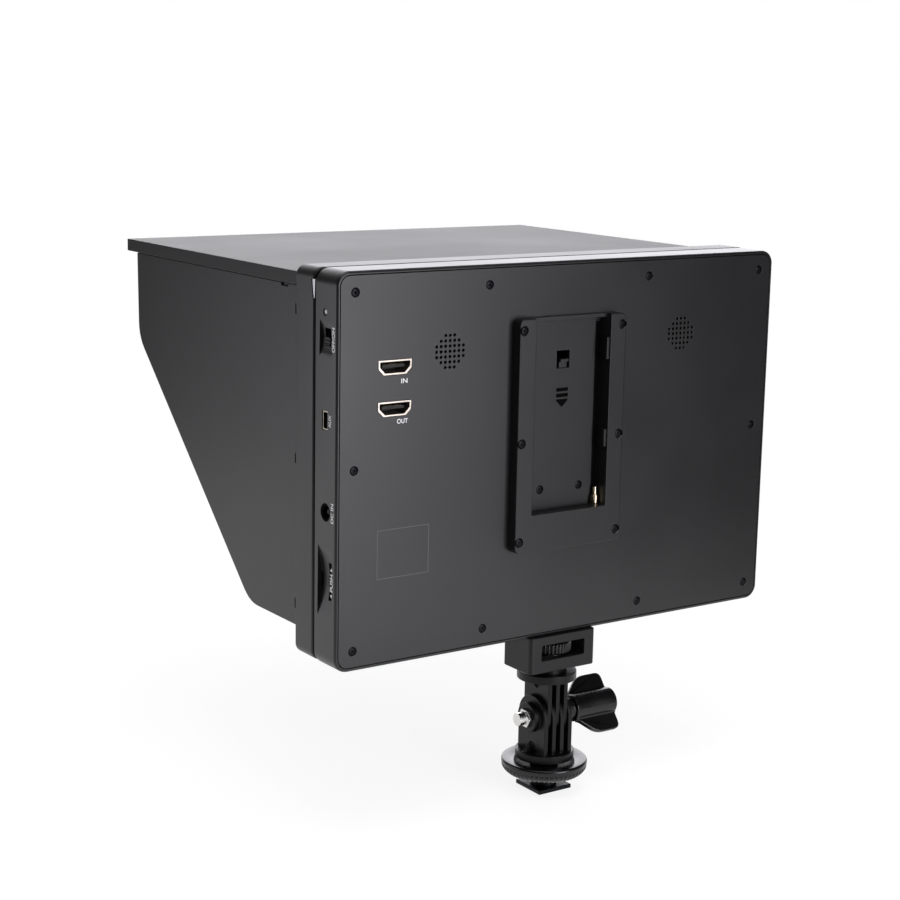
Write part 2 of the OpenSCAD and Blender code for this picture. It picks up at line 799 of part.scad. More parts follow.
module mid_housing() {
    boss_y0 = board_y - board_t - 0.2;
    root_x = inner_x + wall / 4;
    root_z = body_h / 2 - 3 * wall / 4;
    color("#3f3f42")
        difference() {
            union() {
                difference() {
                    slab(body_w, body_h, body_r, front_y, back_y, mid_z);
                    slab(body_w - 2 * wall, body_h - 2 * wall, body_r - wall,
                        front_y - 1, back_y + 1, mid_z);
                    slab(body_w - 2 * rim_w, body_h - 2 * rim_w, body_r - rim_w,
                        cover_in_y, back_y + 1, mid_z);
                }
                for (p = COVER_SCREWS) {
                    rod_y(boss_r, boss_y0, cover_in_y, p[0], mid_z + p[1]);
                    if (abs(p[0]) > screw_inner)
                        box(min(p[0], sign(p[0]) * root_x), max(p[0], sign(p[0]) * root_x),
                            boss_y0, cover_in_y, mid_z + p[1] - 1, mid_z + p[1] + 1);
                    if (abs(p[1]) > screw_side_z)
                        box(p[0] - 1, p[0] + 1, boss_y0, cover_in_y,
                            mid_z + min(p[1], sign(p[1]) * root_z),
                            mid_z + max(p[1], sign(p[1]) * root_z));
                }
                for (sx = [-1, 1], sz = [-1, 1])
                    box(sx * tab_x - tab_w / 2, sx * tab_x + tab_w / 2, front_y, front_y + tab_t,
                        mid_z + min(sz * (tab_z - 3.4), sz * root_z),
                        mid_z + max(sz * (tab_z - 3.4), sz * root_z));
                rod_z(7.2, body_z, body_z + tripod_l + 3, 0, 0);
                box(pad_x, root_x, boss_y0, cover_in_y,
                    mid_z + switch_z - 9.4, mid_z + switch_z + 9.4);
                box(pad_x, root_x, boss_y0, cover_in_y,
                    mid_z - dial_z - 17, mid_z - dial_z + 17);
            }
            for (p = COVER_SCREWS)
                rod_y(shank_r + run_fit, boss_y0 + 2, back_y, p[0], mid_z + p[1]);
            for (sx = [-1, 1], sz = [-1, 1])
                rod_y(shank_r + run_fit, front_y - 1, front_y + tab_t + 1,
                    sx * tab_x, mid_z + sz * tab_z);
            rod_z(5.2 + run_fit, body_z - 1, body_z + tripod_l + 2 + run_fit, 0, 0);
            side_cuts();
        }
}

// Outline of a video socket, its wide side up
module video_outline(grow) {
    w = video_w / 2 + grow;
    h = video_h / 2 + grow;
    c = video_chamfer;
    polygon([[-w, h], [w, h], [w, c - h], [w - c, -h], [c - w, -h], [-w, c - h]]);
}

module video_prism(grow, y0, y1, dz) {
    translate([video_x, y1, mid_z + dz])
        rotate([90, 0, 0])
            linear_extrude(height = y1 - y0)
                mirror([1, 0, 0])
                    video_outline(grow);
}

// Rows of a speaker grille: the number of holes in each
GRILLE_ROWS = [3, 5, 7, 7, 7, 5, 3];

module grille_holes(x) {
    for (row = [0 : len(GRILLE_ROWS) - 1], i = [0 : GRILLE_ROWS[row] - 1])
        rod_y(hole_r, cover_in_y - 1, back_y + 1,
            x + (i - (GRILLE_ROWS[row] - 1) / 2) * hole_pitch,
            mid_z + speaker_z + ((len(GRILLE_ROWS) - 1) / 2 - row) * hole_pitch, $fn = 16);
}

module rear_cover() {
    edge = rim_w + cover_gap;
    color("#4a4a4d")
        difference() {
            slab(body_w - 2 * edge, body_h - 2 * edge, body_r - edge, cover_in_y, back_y, mid_z);
            for (p = COVER_SCREWS) {
                rod_y(shank_r + let_in, cover_in_y - 1, back_y + 1, p[0], mid_z + p[1]);
                rod_y(head_r + let_in, back_y - head_h, back_y + 1, p[0], mid_z + p[1]);
            }
            grille_holes(speaker_x);
            grille_holes(-speaker_x);
            video_prism(let_in, cover_in_y - 1, back_y + 1, video_in_z);
            video_prism(let_in, cover_in_y - 1, back_y + 1, video_out_z);
            box(plate_x - channel_w / 2 - tray_wall - let_in,
                plate_x + channel_w / 2 + tray_wall + let_in,
                cover_in_y - 1, back_y + 1,
                channel_low_z - tray_wall - let_in, channel_top_z + 1.4 + let_in);
            box(plate_x - contact_x - 2.4, plate_x + contact_x + 2.4, cover_in_y - 1, back_y + 1,
                channel_low_z - contact_block_h - let_in, channel_low_z);
            for (p = PLATE_SCREWS)
                rod_y(shank_r, cover_in_y - 1, back_y + 1, p[0], p[1]);
        }
}

module cover_screws() {
    color("#1c1c1e")
        for (p = COVER_SCREWS)
            screw(p[0], mid_z + p[1], back_y - head_h, cover_screw_len);
}

// ---- display ----

module front_bezel() {
    color("#1f1f21")
        difference() {
            slab(body_w - 2 * seam_d, body_h - 2 * seam_d, body_r - seam_d,
                bezel_y, front_y, mid_z);
            slab(screen_w, screen_h, 1, bezel_y - 1, front_y + 1, mid_z);
            box(-panel_w / 2 - panel_play, panel_w / 2 + panel_play, glass_y, front_y + 1,
                mid_z - panel_h / 2 - panel_play, mid_z + panel_h / 2 + panel_play);
            for (sx = [-1, 1], sz = [-1, 1]) {
                rod_y(shank_r, front_y - 3.5, front_y + 1, sx * tab_x, mid_z + sz * tab_z);
                rod_y(shank_r, bezel_y - 1, bezel_y + 3.5,
                    sx * hood_screw_x, mid_z + sz * hood_screw_z);
            }
        }
}

module bezel_screws() {
    color("#8f9194")
        for (sx = [-1, 1], sz = [-1, 1])
            screw(sx * tab_x, mid_z + sz * tab_z, front_y + tab_t, bezel_screw_len);
}

// Flat layer of the display, from y0 back by t
module layer(w, h, y0, t) {
    box(-w / 2, w / 2, y0, y0 + t, mid_z - h / 2, mid_z + h / 2);
}

module cover_glass() {
    color("#0b0c0e")
        layer(panel_w, panel_h, glass_y, glass_t);
}

module display_panel() {
    color("#15161a")
        layer(panel_w, panel_h, panel_y, panel_t);
}

module backlight() {
    color("#d9dadb")
        layer(panel_w, panel_h, light_y, light_t);
}

// Sheet metal behind the display, with the pads that carry the boards
module panel_bracket() {
    color("#9b9da0") {
        layer(panel_w, panel_h, bracket_y, bracket_t);
        for (sx = [-1, 1], sz = [-1, 1])
            rod_y(3, bracket_y + bracket_t / 2, board_y - board_t,
                sx * (main_board_w / 2 - 6), mid_z + sz * (main_board_h / 2 - 6));
        for (z = [io_board_low + 11.5, io_board_high - 24])
            rod_y(3, bracket_y + bracket_t / 2, board_y - board_t,
                board_edge_x - io_board_w + 6, z);
        for (s = [-1, 1])
            difference() {
                rod_y(post_w / 2, bracket_y + bracket_t / 2, tray_y,
                    plate_x + s * floor_screw_x, channel_low_z + floor_screw_z);
                rod_y(shank_r, board_y, tray_y + 1,
                    plate_x + s * floor_screw_x, channel_low_z + floor_screw_z);
            }
    }
}

// Part on the main board; x, z, w and h are shares of the board's size
module chip(x, z, w, h, t) {
    x0 = main_board_w * (x - w / 2);
    z0 = mid_z + main_board_h * (z - h / 2);
    box(x0, x0 + main_board_w * w, board_y - 0.2, board_y + t, z0, z0 + main_board_h * h);
}

module main_board() {
    color("#1f5a35") {
        difference() {
            layer(main_board_w, main_board_h, board_y - board_t, board_t);
            for (s = [-1, 1])
                rod_y(post_w / 2 + 0.2, board_y - 3, board_y + 1,
                    plate_x + s * floor_screw_x, channel_low_z + floor_screw_z);
        }
        chip(-0.27, 0, 0.15, 0.21, 1.6);
        chip(-0.35, -0.375, 0.09, 0.1, 3);
        chip(0.29, 0, 0.09, 0.14, 1.4);
        chip(0.32, -0.4, 0.19, 0.08, 4);
        for (i = [0 : 3])
            rod_y(3.2, board_y - 0.2, board_y + 5, main_board_w * (0.23 + 0.06 * i),
                mid_z - main_board_h * 0.23);
    }
}

module io_board() {
    color("#1f5a35")
        difference() {
            box(board_edge_x - io_board_w, board_edge_x, board_y - board_t, board_y,
                io_board_low, io_board_high);
            box(screw_x - boss_r - 0.4, side_x, board_y - 3, board_y + 1,
                mid_z + screw_side_z - boss_r - 0.4, mid_z + screw_side_z + boss_r + 0.4);
        }
}

// Flat cable that joins the two boards across the gap between them
module display_cable() {
    overlap = 4;
    color("#d8c9a3")
        box(main_board_w / 2 - overlap, board_edge_x - io_board_w + overlap,
            board_y, board_y + 0.4, mid_z - 12, mid_z + 12);
}

// ---- sockets and speakers ----

module video_socket(dz) {
    rim_t = 0.8;
    difference() {
        union() {
            video_prism(0, back_y - rim_t, back_y, dz);
            video_prism(-0.3, board_y, back_y - rim_t / 2, dz);
        }
        video_prism(-0.3 - shell_t, board_y + 1, back_y + 1, dz);
    }
}

module video_in_socket() {
    color("#c9b98a")
        video_socket(video_in_z);
}

module video_out_socket() {
    color("#c9b98a")
        video_socket(video_out_z);
}

module video_tongues() {
    color("#26231f")
        for (dz = [video_in_z, video_out_z]) {
            box(video_x - 5.6, video_x + 5.6, board_y + 1, back_y - 1.5,
                mid_z + dz - 0.3, mid_z + dz + 1);
            box(video_x - 5, video_x + 5, board_y + 1, board_y + 4,
                mid_z + dz - 2.2, mid_z + dz + 2.2);
        }
}

module data_socket() {
    x0 = side_x - 11;
    x1 = side_x - 0.4;
    y0 = data_y - data_d / 2 + let_in;
    y1 = data_y + data_d / 2 - let_in;
    hw = data_w / 2 - let_in;
    color("#b9babd")
        difference() {
            union() {
                box(x0, x1, y0, y1, mid_z + data_z - hw, mid_z + data_z + hw);
                box(x0, board_edge_x, board_y, y0 + 0.1, mid_z + data_z - hw, mid_z + data_z + hw);
            }
            box(x0 + 1, side_x, y0 + shell_t, y1 - shell_t,
                mid_z + data_z - hw + shell_t, mid_z + data_z + hw - shell_t);
        }
    color("#26231f")
        box(x0 + 0.5, x1 - 1.2, data_y - 0.5, data_y + 0.4,
            mid_z + data_z - 2.5, mid_z + data_z + 2.5);
}

module power_inlet() {
    color("#151517")
        difference() {
            union() {
                box(side_x - 16.5, inner_x - 0.2, board_y, inlet_y + 4.6,
                    mid_z - inlet_z - 4.5, mid_z - inlet_z + 4.5);
                rod_x(inlet_r - let_in, inner_x - 1, side_x - 0.4, inlet_y, mid_z - inlet_z);
            }
            rod_x(inlet_bore_r, side_x - 10, side_x + 1, inlet_y, mid_z - inlet_z);
            rod_x(inlet_pin_r, side_x - 12, side_x, inlet_y, mid_z - inlet_z);
        }
}

module inlet_pin() {
    color("#c2b280")
        rod_x(inlet_pin_r, side_x - 12, side_x - 1.5, inlet_y, mid_z - inlet_z);
}

module speaker(x) {
    gasket_t = 0.5;
    magnet_r = 7;
    front = cover_in_y - gasket_t;
    difference() {
        rod_y(speaker_r, front - 1.6, front, x, mid_z + speaker_z);
        rod_y(speaker_r - 1.6, front - 0.8, front + 1, x, mid_z + speaker_z);
    }
    rod_y(magnet_r, front - speaker_t, front - 1.2, x, mid_z + speaker_z);
}

module right_speaker() {
    color("#2c2d30")
        speaker(speaker_x);
}

module left_speaker() {
    color("#2c2d30")
        speaker(-speaker_x);
}

module speaker_gaskets() {
    color("#121213")
        for (sx = [-1, 1])
            difference() {
                rod_y(speaker_r, cover_in_y - 0.5, cover_in_y,
                    sx * speaker_x, mid_z + speaker_z);
                rod_y(speaker_r - 1.6, cover_in_y - 2, cover_in_y + 1,
                    sx * speaker_x, mid_z + speaker_z);
            }
}

// ---- side controls ----

module switch_body() {
    color("#8f9194")
        box(pad_x - 7, pad_x - 0.2, board_y, switch_y + 4,
            mid_z + switch_z - 7.5, mid_z + switch_z + 8);
}

module switch_knob() {
    slot_low = mid_z + switch_z + 0.5 - switch_slot_l / 2;
    low = slot_low + (switch_slot_l - switch_travel - switch_knob_l) / 2;
    rib = 0.5;
    color("#1a1a1c") {
        box(pad_x, side_x - 1.1, switch_y - switch_knob_w / 2, switch_y + switch_knob_w / 2,
            low, low + switch_knob_l);
        for (i = [0 : 2])
            box(side_x - 1.2, side_x - 0.6, switch_y - switch_knob_w / 2,
                switch_y + switch_knob_w / 2,
                low + i * (switch_knob_l - rib) / 2, low + i * (switch_knob_l - rib) / 2 + rib);
    }
}

module dial_base() {
    color("#6d6f72")
        box(dial_axis_x - 8, pad_x - 1, board_y, dial_y - dial_t / 2 - carrier_t - 2 * turn_gap,
            mid_z - dial_z - 7, mid_z - dial_z + 7);
}

module dial_carrier() {
    z = mid_z - dial_z;
    y1 = dial_y - dial_t / 2 - turn_gap;
    color("#2a2a2c") {
        box(dial_axis_x - 7, dial_axis_x + 4, y1 - carrier_t, y1,
            z - carrier_w / 2, z + carrier_w / 2);
        rod_y(dial_axle_r, y1 - 0.2, dial_y + dial_t / 2 + 0.4, dial_axis_x, z);
    }
}

module dial_wheel() {
    z = mid_z - dial_z;
    grooves = 40;
    color("#17171a")
        difference() {
            rod_y(dial_r, dial_y - dial_t / 2, dial_y + dial_t / 2, dial_axis_x, z);
            rod_y(dial_axle_r + run_fit, dial_y - dial_t, dial_y + dial_t, dial_axis_x, z);
            for (i = [0 : grooves - 1])
                translate([dial_axis_x, 0, z])
                    rotate([0, i * 360 / grooves, 0])
                        rod_y(0.4, dial_y - dial_t, dial_y + dial_t, dial_r + 0.15, 0, $fn = 16);
        }
}

module status_lamp() {
    color("#cfd2d6") {
        rod_x(lamp_r, pad_x - 1, side_x - 0.4, lamp_y, mid_z + lamp_z);
        box(pad_x - 3, pad_x - 0.8, board_y, lamp_y + lamp_r,
            mid_z + lamp_z - 1.5, mid_z + lamp_z + 1.5);
    }
}

// ---- battery plate ----

// Bars and arrow that show which way the battery slides
module slide_mark() {
    bar_h = 1.7;
    step = 2.6;
    w = mark_w / 2;
    for (i = [0, 1])
        translate([-w, -i * step - bar_h])
            square([mark_w, bar_h]);
    translate([0, -2 * step])
        polygon([[-w, 0], [w, 0], [w, -0.6], [0, -3.7], [-w, -0.6]]);
}

module battery_plate() {
    half = channel_w / 2;
    color("#3c3c3f")
        difference() {
            union() {
                slab(plate_w, plate_h, plate_r, back_y, plate_front_y, plate_mid_z, plate_x);
                box(plate_x - half - tray_wall, plate_x + half + tray_wall, tray_y, back_y + 0.1,
                    channel_low_z - tray_wall, channel_top_z + 1.4);
                for (s = [-1, 1])
                    box(plate_x + s * (catch_w / 2 + catch_lug_gap + catch_lug_w / 2)
                            - catch_lug_w / 2,
                        plate_x + s * (catch_w / 2 + catch_lug_gap + catch_lug_w / 2)
                            + catch_lug_w / 2,
                        catch_axis_y - 1.2, tray_y + 0.1, catch_axis_z - 1.4, catch_axis_z + 1.4);
            }
            difference() {
                box(plate_x - half, plate_x + half, channel_floor_y, plate_front_y + 1,
                    channel_low_z, plate_mid_z + plate_h);
                box(plate_x - half - 1, plate_x + half + 1, tray_y, back_y + step_rise,
                    channel_top_z, plate_mid_z + plate_h + 1);
                for (s = [-1, 1], t = BATTERY_TABS)
                    box(plate_x + s * half - tab_in, plate_x + s * half + tab_in,
                        tab_in_y, tab_out_y,
                        channel_low_z + t[0] - t[1] / 2, channel_low_z + t[0] + t[1] / 2);
            }
            translate([plate_x, channel_floor_y + 1, mark_z + 9])
                rotate([90, 0, 0])
                    linear_extrude(height = 1 + mark_d)
                        slide_mark();
            box(plate_x - catch_window_w / 2, plate_x + catch_window_w / 2, tray_y - 1,
                channel_floor_y + 1, catch_low_z, catch_low_z + catch_window_h);
            rod_x(catch_pin_r, plate_x - 10, plate_x + 10, catch_axis_y, catch_axis_z);
            for (p = PLATE_SCREWS) {
                rod_y(shank_r + let_in, back_y - 1, plate_front_y + 1, p[0], p[1]);
                rod_y(head_r + let_in, plate_front_y - head_h, plate_front_y + 1, p[0], p[1]);
            }
            for (s = [-1, 1]) {
                rod_y(shank_r + let_in, tray_y - 1, plate_front_y, plate_x + s * floor_screw_x,
                    channel_low_z + floor_screw_z);
                rod_y(head_r + let_in, channel_floor_y - head_h, plate_front_y,
                    plate_x + s * floor_screw_x, channel_low_z + floor_screw_z);
            }
            box(plate_x - contact_x - 2.4, plate_x + contact_x + 2.4,
                contact_y - contact_block_d / 2, contact_y + contact_block_d / 2,
                channel_low_z - contact_block_h, channel_low_z + 1);
        }
}

module plate_screws() {
    color("#1c1c1e")
        for (p = PLATE_SCREWS)
            screw(p[0], p[1], plate_front_y - head_h, plate_screw_len);
}

module floor_screws() {
    color("#1c1c1e")
        for (s = [-1, 1])
            screw(plate_x + s * floor_screw_x, channel_low_z + floor_screw_z,
                channel_floor_y - head_h, floor_screw_len);
}

module contact_block() {
    color("#141416")
        difference() {
            box(plate_x - contact_x - 2.3, plate_x + contact_x + 2.3,
                contact_y - contact_block_d / 2 + 0.1, contact_y + contact_block_d / 2 - 0.1,
                channel_low_z - contact_block_h, channel_low_z);
            for (s = [-1, 1])
                rod_z(contact_r + run_fit, channel_low_z - 5, channel_low_z + 1,
                    plate_x + s * contact_x, contact_y);
        }
}

module battery_contacts() {
    base_h = 4.2;
    color("#d0a85c")
        for (s = [-1, 1]) {
            rod_z(contact_r, channel_low_z - 5, channel_low_z + contact_h,
                plate_x + s * contact_x, contact_y);
            rod_z(contact_r + 0.7, channel_low_z, channel_low_z + base_h,
                plate_x + s * contact_x, contact_y);
        }
}

module battery_catch() {
    color("#38383b")
        difference() {
            union() {
                box(plate_x - catch_w / 2, plate_x + catch_w / 2,
                    channel_floor_y - catch_plate_t, channel_floor_y,
                    catch_low_z + 0.3, catch_low_z + catch_h);
                box(plate_x - catch_w / 2, plate_x + catch_w / 2,
                    channel_floor_y - 0.1, channel_floor_y + catch_rise,
                    catch_low_z + catch_h - 1.4, catch_low_z + catch_h);
                box(plate_x - catch_w / 2, plate_x + catch_w / 2, catch_axis_y - 0.9,
                    channel_floor_y - catch_plate_t + 0.1, catch_low_z + 0.3, catch_low_z + 1.6);
                box(plate_x - catch_w / 2, plate_x + catch_w / 2, catch_axis_y - 0.9,
                    catch_axis_y + 0.8, catch_axis_z, catch_low_z + 1.6);
                rod_x(0.95, plate_x - catch_w / 2, plate_x + catch_w / 2,
                    catch_axis_y, catch_axis_z);
            }
            rod_x(catch_pin_r + run_fit, plate_x - 10, plate_x + 10, catch_axis_y, catch_axis_z);
        }
}

module catch_pin() {
    reach = catch_w / 2 + catch_lug_gap + catch_lug_w;
    color("#a9aaad")
        rod_x(catch_pin_r, plate_x - reach, plate_x + reach, catch_axis_y, catch_axis_z);
}

// ---- sun hood ----

module hood_frame() {
    lip = seam_d - 2 * let_in;
    color("#303033")
        difference() {
            union() {
                difference() {
                    slab(body_w, frame_h, frame_r, frame_y, frame_back_y, frame_mid_z);
                    slab(body_w - 2 * frame_wall, frame_h - 2 * frame_wall, frame_in_r,
                        frame_y - 1, flange_y, frame_mid_z);
                    slab(screen_w + 3, screen_h + 3, 2, flange_y - 1, frame_back_y + 1, mid_z);
                    slab(body_w - 2 * lip, body_h - 2 * lip, body_r - lip,
                        bezel_y, frame_back_y + 1, mid_z);
                }
                for (x = LID_LUGS) {
                    rod_x(lid_barrel_r, x - lug_w / 2, x + lug_w / 2, lid_axis_y, lid_axis_z);
                    box(x - lug_w / 2, x + lug_w / 2, lid_axis_y, frame_y + 0.2,
                        lid_axis_z, lid_top);
                }
                for (s = [-1, 1], z = FLAP_LUGS) {
                    rod_z(flap_barrel_r, z - flap_lug_h / 2, z + flap_lug_h / 2,
                        s * flap_axis_x, flap_axis_y);
                    box(s * flap_axis_x - flap_barrel_r, s * flap_axis_x + flap_barrel_r,
                        flap_axis_y, frame_y + 0.2, z - flap_lug_h / 2, z + flap_lug_h / 2);
                }
            }
            rod_x(lid_pin_r, -side_x, side_x, lid_axis_y, lid_axis_z);
            for (s = [-1, 1])
                rod_z(flap_pin_r, flap_top - flap_h, flap_top, s * flap_axis_x, flap_axis_y);
            for (sx = [-1, 1], sz = [-1, 1])
                rod_y(shank_r + let_in, flange_y - 1, bezel_y + 1,
                    sx * hood_screw_x, mid_z + sz * hood_screw_z);
            for (s = [-1, 1])
                clip_prism(s, side_x - frame_wall, side_x + 1, let_in);
        }
}

module hood_screws() {
    color("#8f9194")
        for (sx = [-1, 1], sz = [-1, 1])
            screw(sx * hood_screw_x, mid_z + sz * hood_screw_z, flange_y, hood_screw_len, -1);
}

// Outline of a hood clip, seen from the side; it narrows downwards from the seam's centre
module clip_outline(grow) {
    y1 = frame_back_y + seam_w * 0.6;
    polygon([
        [y1 - clip_w - grow, grow], [y1 + grow, grow],
        [y1 - 0.4 + grow, -clip_h - grow], [y1 - 0.4 - clip_tip - grow, -clip_h - grow]]);
}

module clip_prism(side, x0, x1, grow) {
    mirror([side > 0 ? 0 : 1, 0, 0])
        translate([x0, 0, clip_z])
            rotate([90, 0, 90])
                linear_extrude(height = x1 - x0)
                    clip_outline(grow);
}

// Sprung steel tongues that hold the hood and show as bright wedges in the seam
module hood_clips() {
    color("#c4c5c8")
        for (s = [-1, 1])
            clip_prism(s, side_x - seam_d + let_in, side_x - 0.3, 0);
}

module hood_lid() {
    edge = lid_w / 2;
    relief = lid_barrel_r + 0.3;
    color("#2d2d30")
        difference() {
            union() {
                box(-edge, edge, lid_front_y, lid_axis_y, lid_top - lid_t, lid_top);
                box(-edge, edge, lid_front_y, lid_front_y + skirt_t, lid_top - skirt_d, lid_top);
                for (s = [-1, 1])
                    box(min(s * edge, s * skirt_in), max(s * edge, s * skirt_in),
                        lid_front_y, lid_axis_y, lid_top - skirt_d, lid_top);
                rod_x(lid_barrel_r, -edge, edge, lid_axis_y, lid_axis_z);
            }
            for (x = LID_LUGS)
                box(x - lug_w / 2 - hood_gap, x + lug_w / 2 + hood_gap,
                    lid_axis_y - relief, frame_y, lid_top - 2 * relief, lid_top + 1);
            rod_x(lid_pin_r + run_fit, 2 - edge, edge - 2, lid_axis_y, lid_axis_z);
        }
}

module lid_pins() {
    reach = 16;
    color("#a9aaad")
        for (x = LID_LUGS)
            rod_x(lid_pin_r, x - reach, x + reach, lid_axis_y, lid_axis_z);
}

// Outline of a side flap, from its hinge at the origin; the top edge is at 0
module flap_outline() {
    slope = 0.9;
    corner = [flap_len - slope, -flap_front];
    knee = [flap_foot, -flap_h];
    polygon(concat(
        [[0, 0], [flap_len, 0]],
        bend(corner, [flap_len, 0], knee, flap_round),
        bend(knee, corner, [0, -flap_h], flap_round),
        [[0, -flap_h]]));
}

// Side flap; layer = 1 puts it on the outer side of its barrel, -1 on the inner side
module flap(side, layer) {
    x0 = layer > 0 ? flap_layer : -flap_layer - flap_t;
    relief = flap_barrel_r + 0.35;
    mirror([side > 0 ? 0 : 1, 0, 0])
        difference() {
            union() {
                translate([flap_axis_x + x0, flap_axis_y, flap_top])
                    rotate([90, 0, -90])
                        mirror([0, 0, 1])
                            linear_extrude(height = flap_t)
                                flap_outline();
                rod_z(flap_barrel_r, flap_top - flap_h + 4, flap_top - 4,
                    flap_axis_x, flap_axis_y);
            }
            for (z = FLAP_LUGS)
                box(flap_axis_x - 2 * relief, flap_axis_x + 2 * relief,
                    flap_axis_y - relief, frame_y,
                    z - flap_lug_h / 2 - hood_gap, z + flap_lug_h / 2 + hood_gap);
            rod_z(flap_pin_r + run_fit, 0, frame_top, flap_axis_x, flap_axis_y);
            box(flap_axis_x + x0 + flap_t / 2, flap_axis_x + x0 + flap_t + 1,
                flap_axis_y - notch_y - notch_w, flap_axis_y - notch_y,
                flap_top - notch_d, flap_top + 1);
        }
}

module right_flap() {
    color("#2f2f32")
        flap(1, 1);
}

module left_flap() {
    color("#2f2f32")
        flap(-1, -1);
}

module flap_pins() {
    color("#a9aaad")
        for (s = [-1, 1])
            rod_z(flap_pin_r, flap_top - flap_h + 4, flap_top - 4, s * flap_axis_x, flap_axis_y);
}

shoe_foot();
fork_base();
cap_nut();
lock_ring();
wing_knob();
tilt_bolt();
tilt_head();
swivel_washer();
swivel_screw();
adapter_block();
thumbwheel();
tripod_screw();
tripod_bush();
mid_housing();
rear_cover();
cover_screws();
front_bezel();
bezel_screws();
cover_glass();
display_panel();
backlight();
panel_bracket();
main_board();
io_board();
display_cable();
video_in_socket();
video_out_socket();
video_tongues();
data_socket();
power_inlet();
inlet_pin();
right_speaker();
left_speaker();
speaker_gaskets();
switch_body();
switch_knob();
dial_base();
dial_carrier();
dial_wheel();
status_lamp();
battery_plate();
plate_screws();
floor_screws();
contact_block();
battery_contacts();
battery_catch();
catch_pin();
hood_frame();
hood_screws();
hood_clips();
hood_lid();
lid_pins();
right_flap();
left_flap();
flap_pins();
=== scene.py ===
import json
import math
import bmesh
import bpy
from mathutils import Matrix, Vector


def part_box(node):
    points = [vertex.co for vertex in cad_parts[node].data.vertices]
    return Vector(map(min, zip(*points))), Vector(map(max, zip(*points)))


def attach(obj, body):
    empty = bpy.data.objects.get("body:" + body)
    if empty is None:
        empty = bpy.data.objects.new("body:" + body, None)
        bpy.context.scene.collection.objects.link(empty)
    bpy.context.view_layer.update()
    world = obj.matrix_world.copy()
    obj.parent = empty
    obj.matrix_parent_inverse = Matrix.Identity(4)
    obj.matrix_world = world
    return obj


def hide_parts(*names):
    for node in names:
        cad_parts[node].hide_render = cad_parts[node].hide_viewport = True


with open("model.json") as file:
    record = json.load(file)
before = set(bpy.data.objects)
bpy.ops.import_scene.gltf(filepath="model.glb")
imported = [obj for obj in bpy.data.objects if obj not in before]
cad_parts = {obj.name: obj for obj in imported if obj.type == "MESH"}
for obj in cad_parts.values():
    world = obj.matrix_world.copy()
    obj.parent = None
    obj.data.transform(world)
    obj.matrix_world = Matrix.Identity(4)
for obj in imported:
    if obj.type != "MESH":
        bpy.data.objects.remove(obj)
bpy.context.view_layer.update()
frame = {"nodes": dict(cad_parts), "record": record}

mm = 0.001
parts = frame["nodes"]
bodyOf = {}
for bodyName, names in frame["record"]["behaviour"]["bodies"].items():
    for partName in names:
        bodyOf[partName] = bodyName
scene = bpy.context.scene
print("frame loaded:", len(parts), "parts")


# colours and nodes

def toLinear(hexText):
    value = hexText.lstrip("#")
    out = []
    for i in (0, 2, 4):
        c = int(value[i:i + 2], 16) / 255
        out.append(c / 12.92 if c <= 0.04045 else ((c + 0.055) / 1.055) ** 2.4)
    return (out[0], out[1], out[2], 1.0)


def addNode(tree, kind, settings=None, links=None):
    node = tree.nodes.new(kind)
    for key, value in (settings or {}).items():
        if isinstance(key, str) and hasattr(node, key):
            setattr(node, key, value)
        else:
            node.inputs[key].default_value = value
    for key, source in (links or {}).items():
        tree.links.new(source, node.inputs[key])
    return node


def newMaterial(name, settings):
    material = bpy.data.materials.new(name)
    material.use_nodes = True
    tree = material.node_tree
    tree.nodes.clear()
    shader = addNode(tree, "ShaderNodeBsdfPrincipled", settings)
    addNode(tree, "ShaderNodeOutputMaterial", links={"Surface": shader.outputs["BSDF"]})
    place = addNode(tree, "ShaderNodeTexCoord").outputs["Object"]
    return material, tree, shader, place


def noiseOn(tree, place, sizeMm, detail=2.0):
    return addNode(tree, "ShaderNodeTexNoise", {"Scale": 1 / (sizeMm * mm), "Detail": detail},
                   {"Vector": place}).outputs["Fac"]


def colourFrom(tree, shader, spec, factor):
    tone = addNode(tree, "ShaderNodeMix", {"data_type": "RGBA", 6: toLinear(spec["dark"]),
                                           7: toLinear(spec["light"])}, {0: factor})
    tree.links.new(tone.outputs[2], shader.inputs["Base Color"])


def roughFrom(tree, shader, settings, factor):
    gloss = addNode(tree, "ShaderNodeMapRange", settings, {"Value": factor})
    tree.links.new(gloss.outputs["Result"], shader.inputs["Roughness"])


def bumpFrom(tree, shader, strength, depthMm, height):
    bump = addNode(tree, "ShaderNodeBump", {"Strength": strength, "Distance": depthMm * mm},
                   {"Height": height})
    tree.links.new(bump.outputs["Normal"], shader.inputs["Normal"])


# Moulded plastic: an even tone with a fine spark-eroded grain that breaks its sheen into a satin.
# The real grain is about 0.1 mm and is drawn coarser so that it shows.
def mouldedAbs(name, spec):
    material, tree, shader, place = newMaterial(name, {
        "Roughness": spec["roughness"], "IOR": 1.5, "Specular IOR Level": spec["sheen"]})
    clouds = noiseOn(tree, place, spec["cloudMm"], 3.0)
    colourFrom(tree, shader, spec, clouds)
    roughFrom(tree, shader, {"From Min": 0.3, "From Max": 0.7,
                             "To Min": spec["roughness"] - spec["spread"],
                             "To Max": spec["roughness"] + spec["spread"]}, clouds)
    bumpFrom(tree, shader, spec["bump"], spec["depthMm"], noiseOn(tree, place, spec["grainMm"]))
    return material


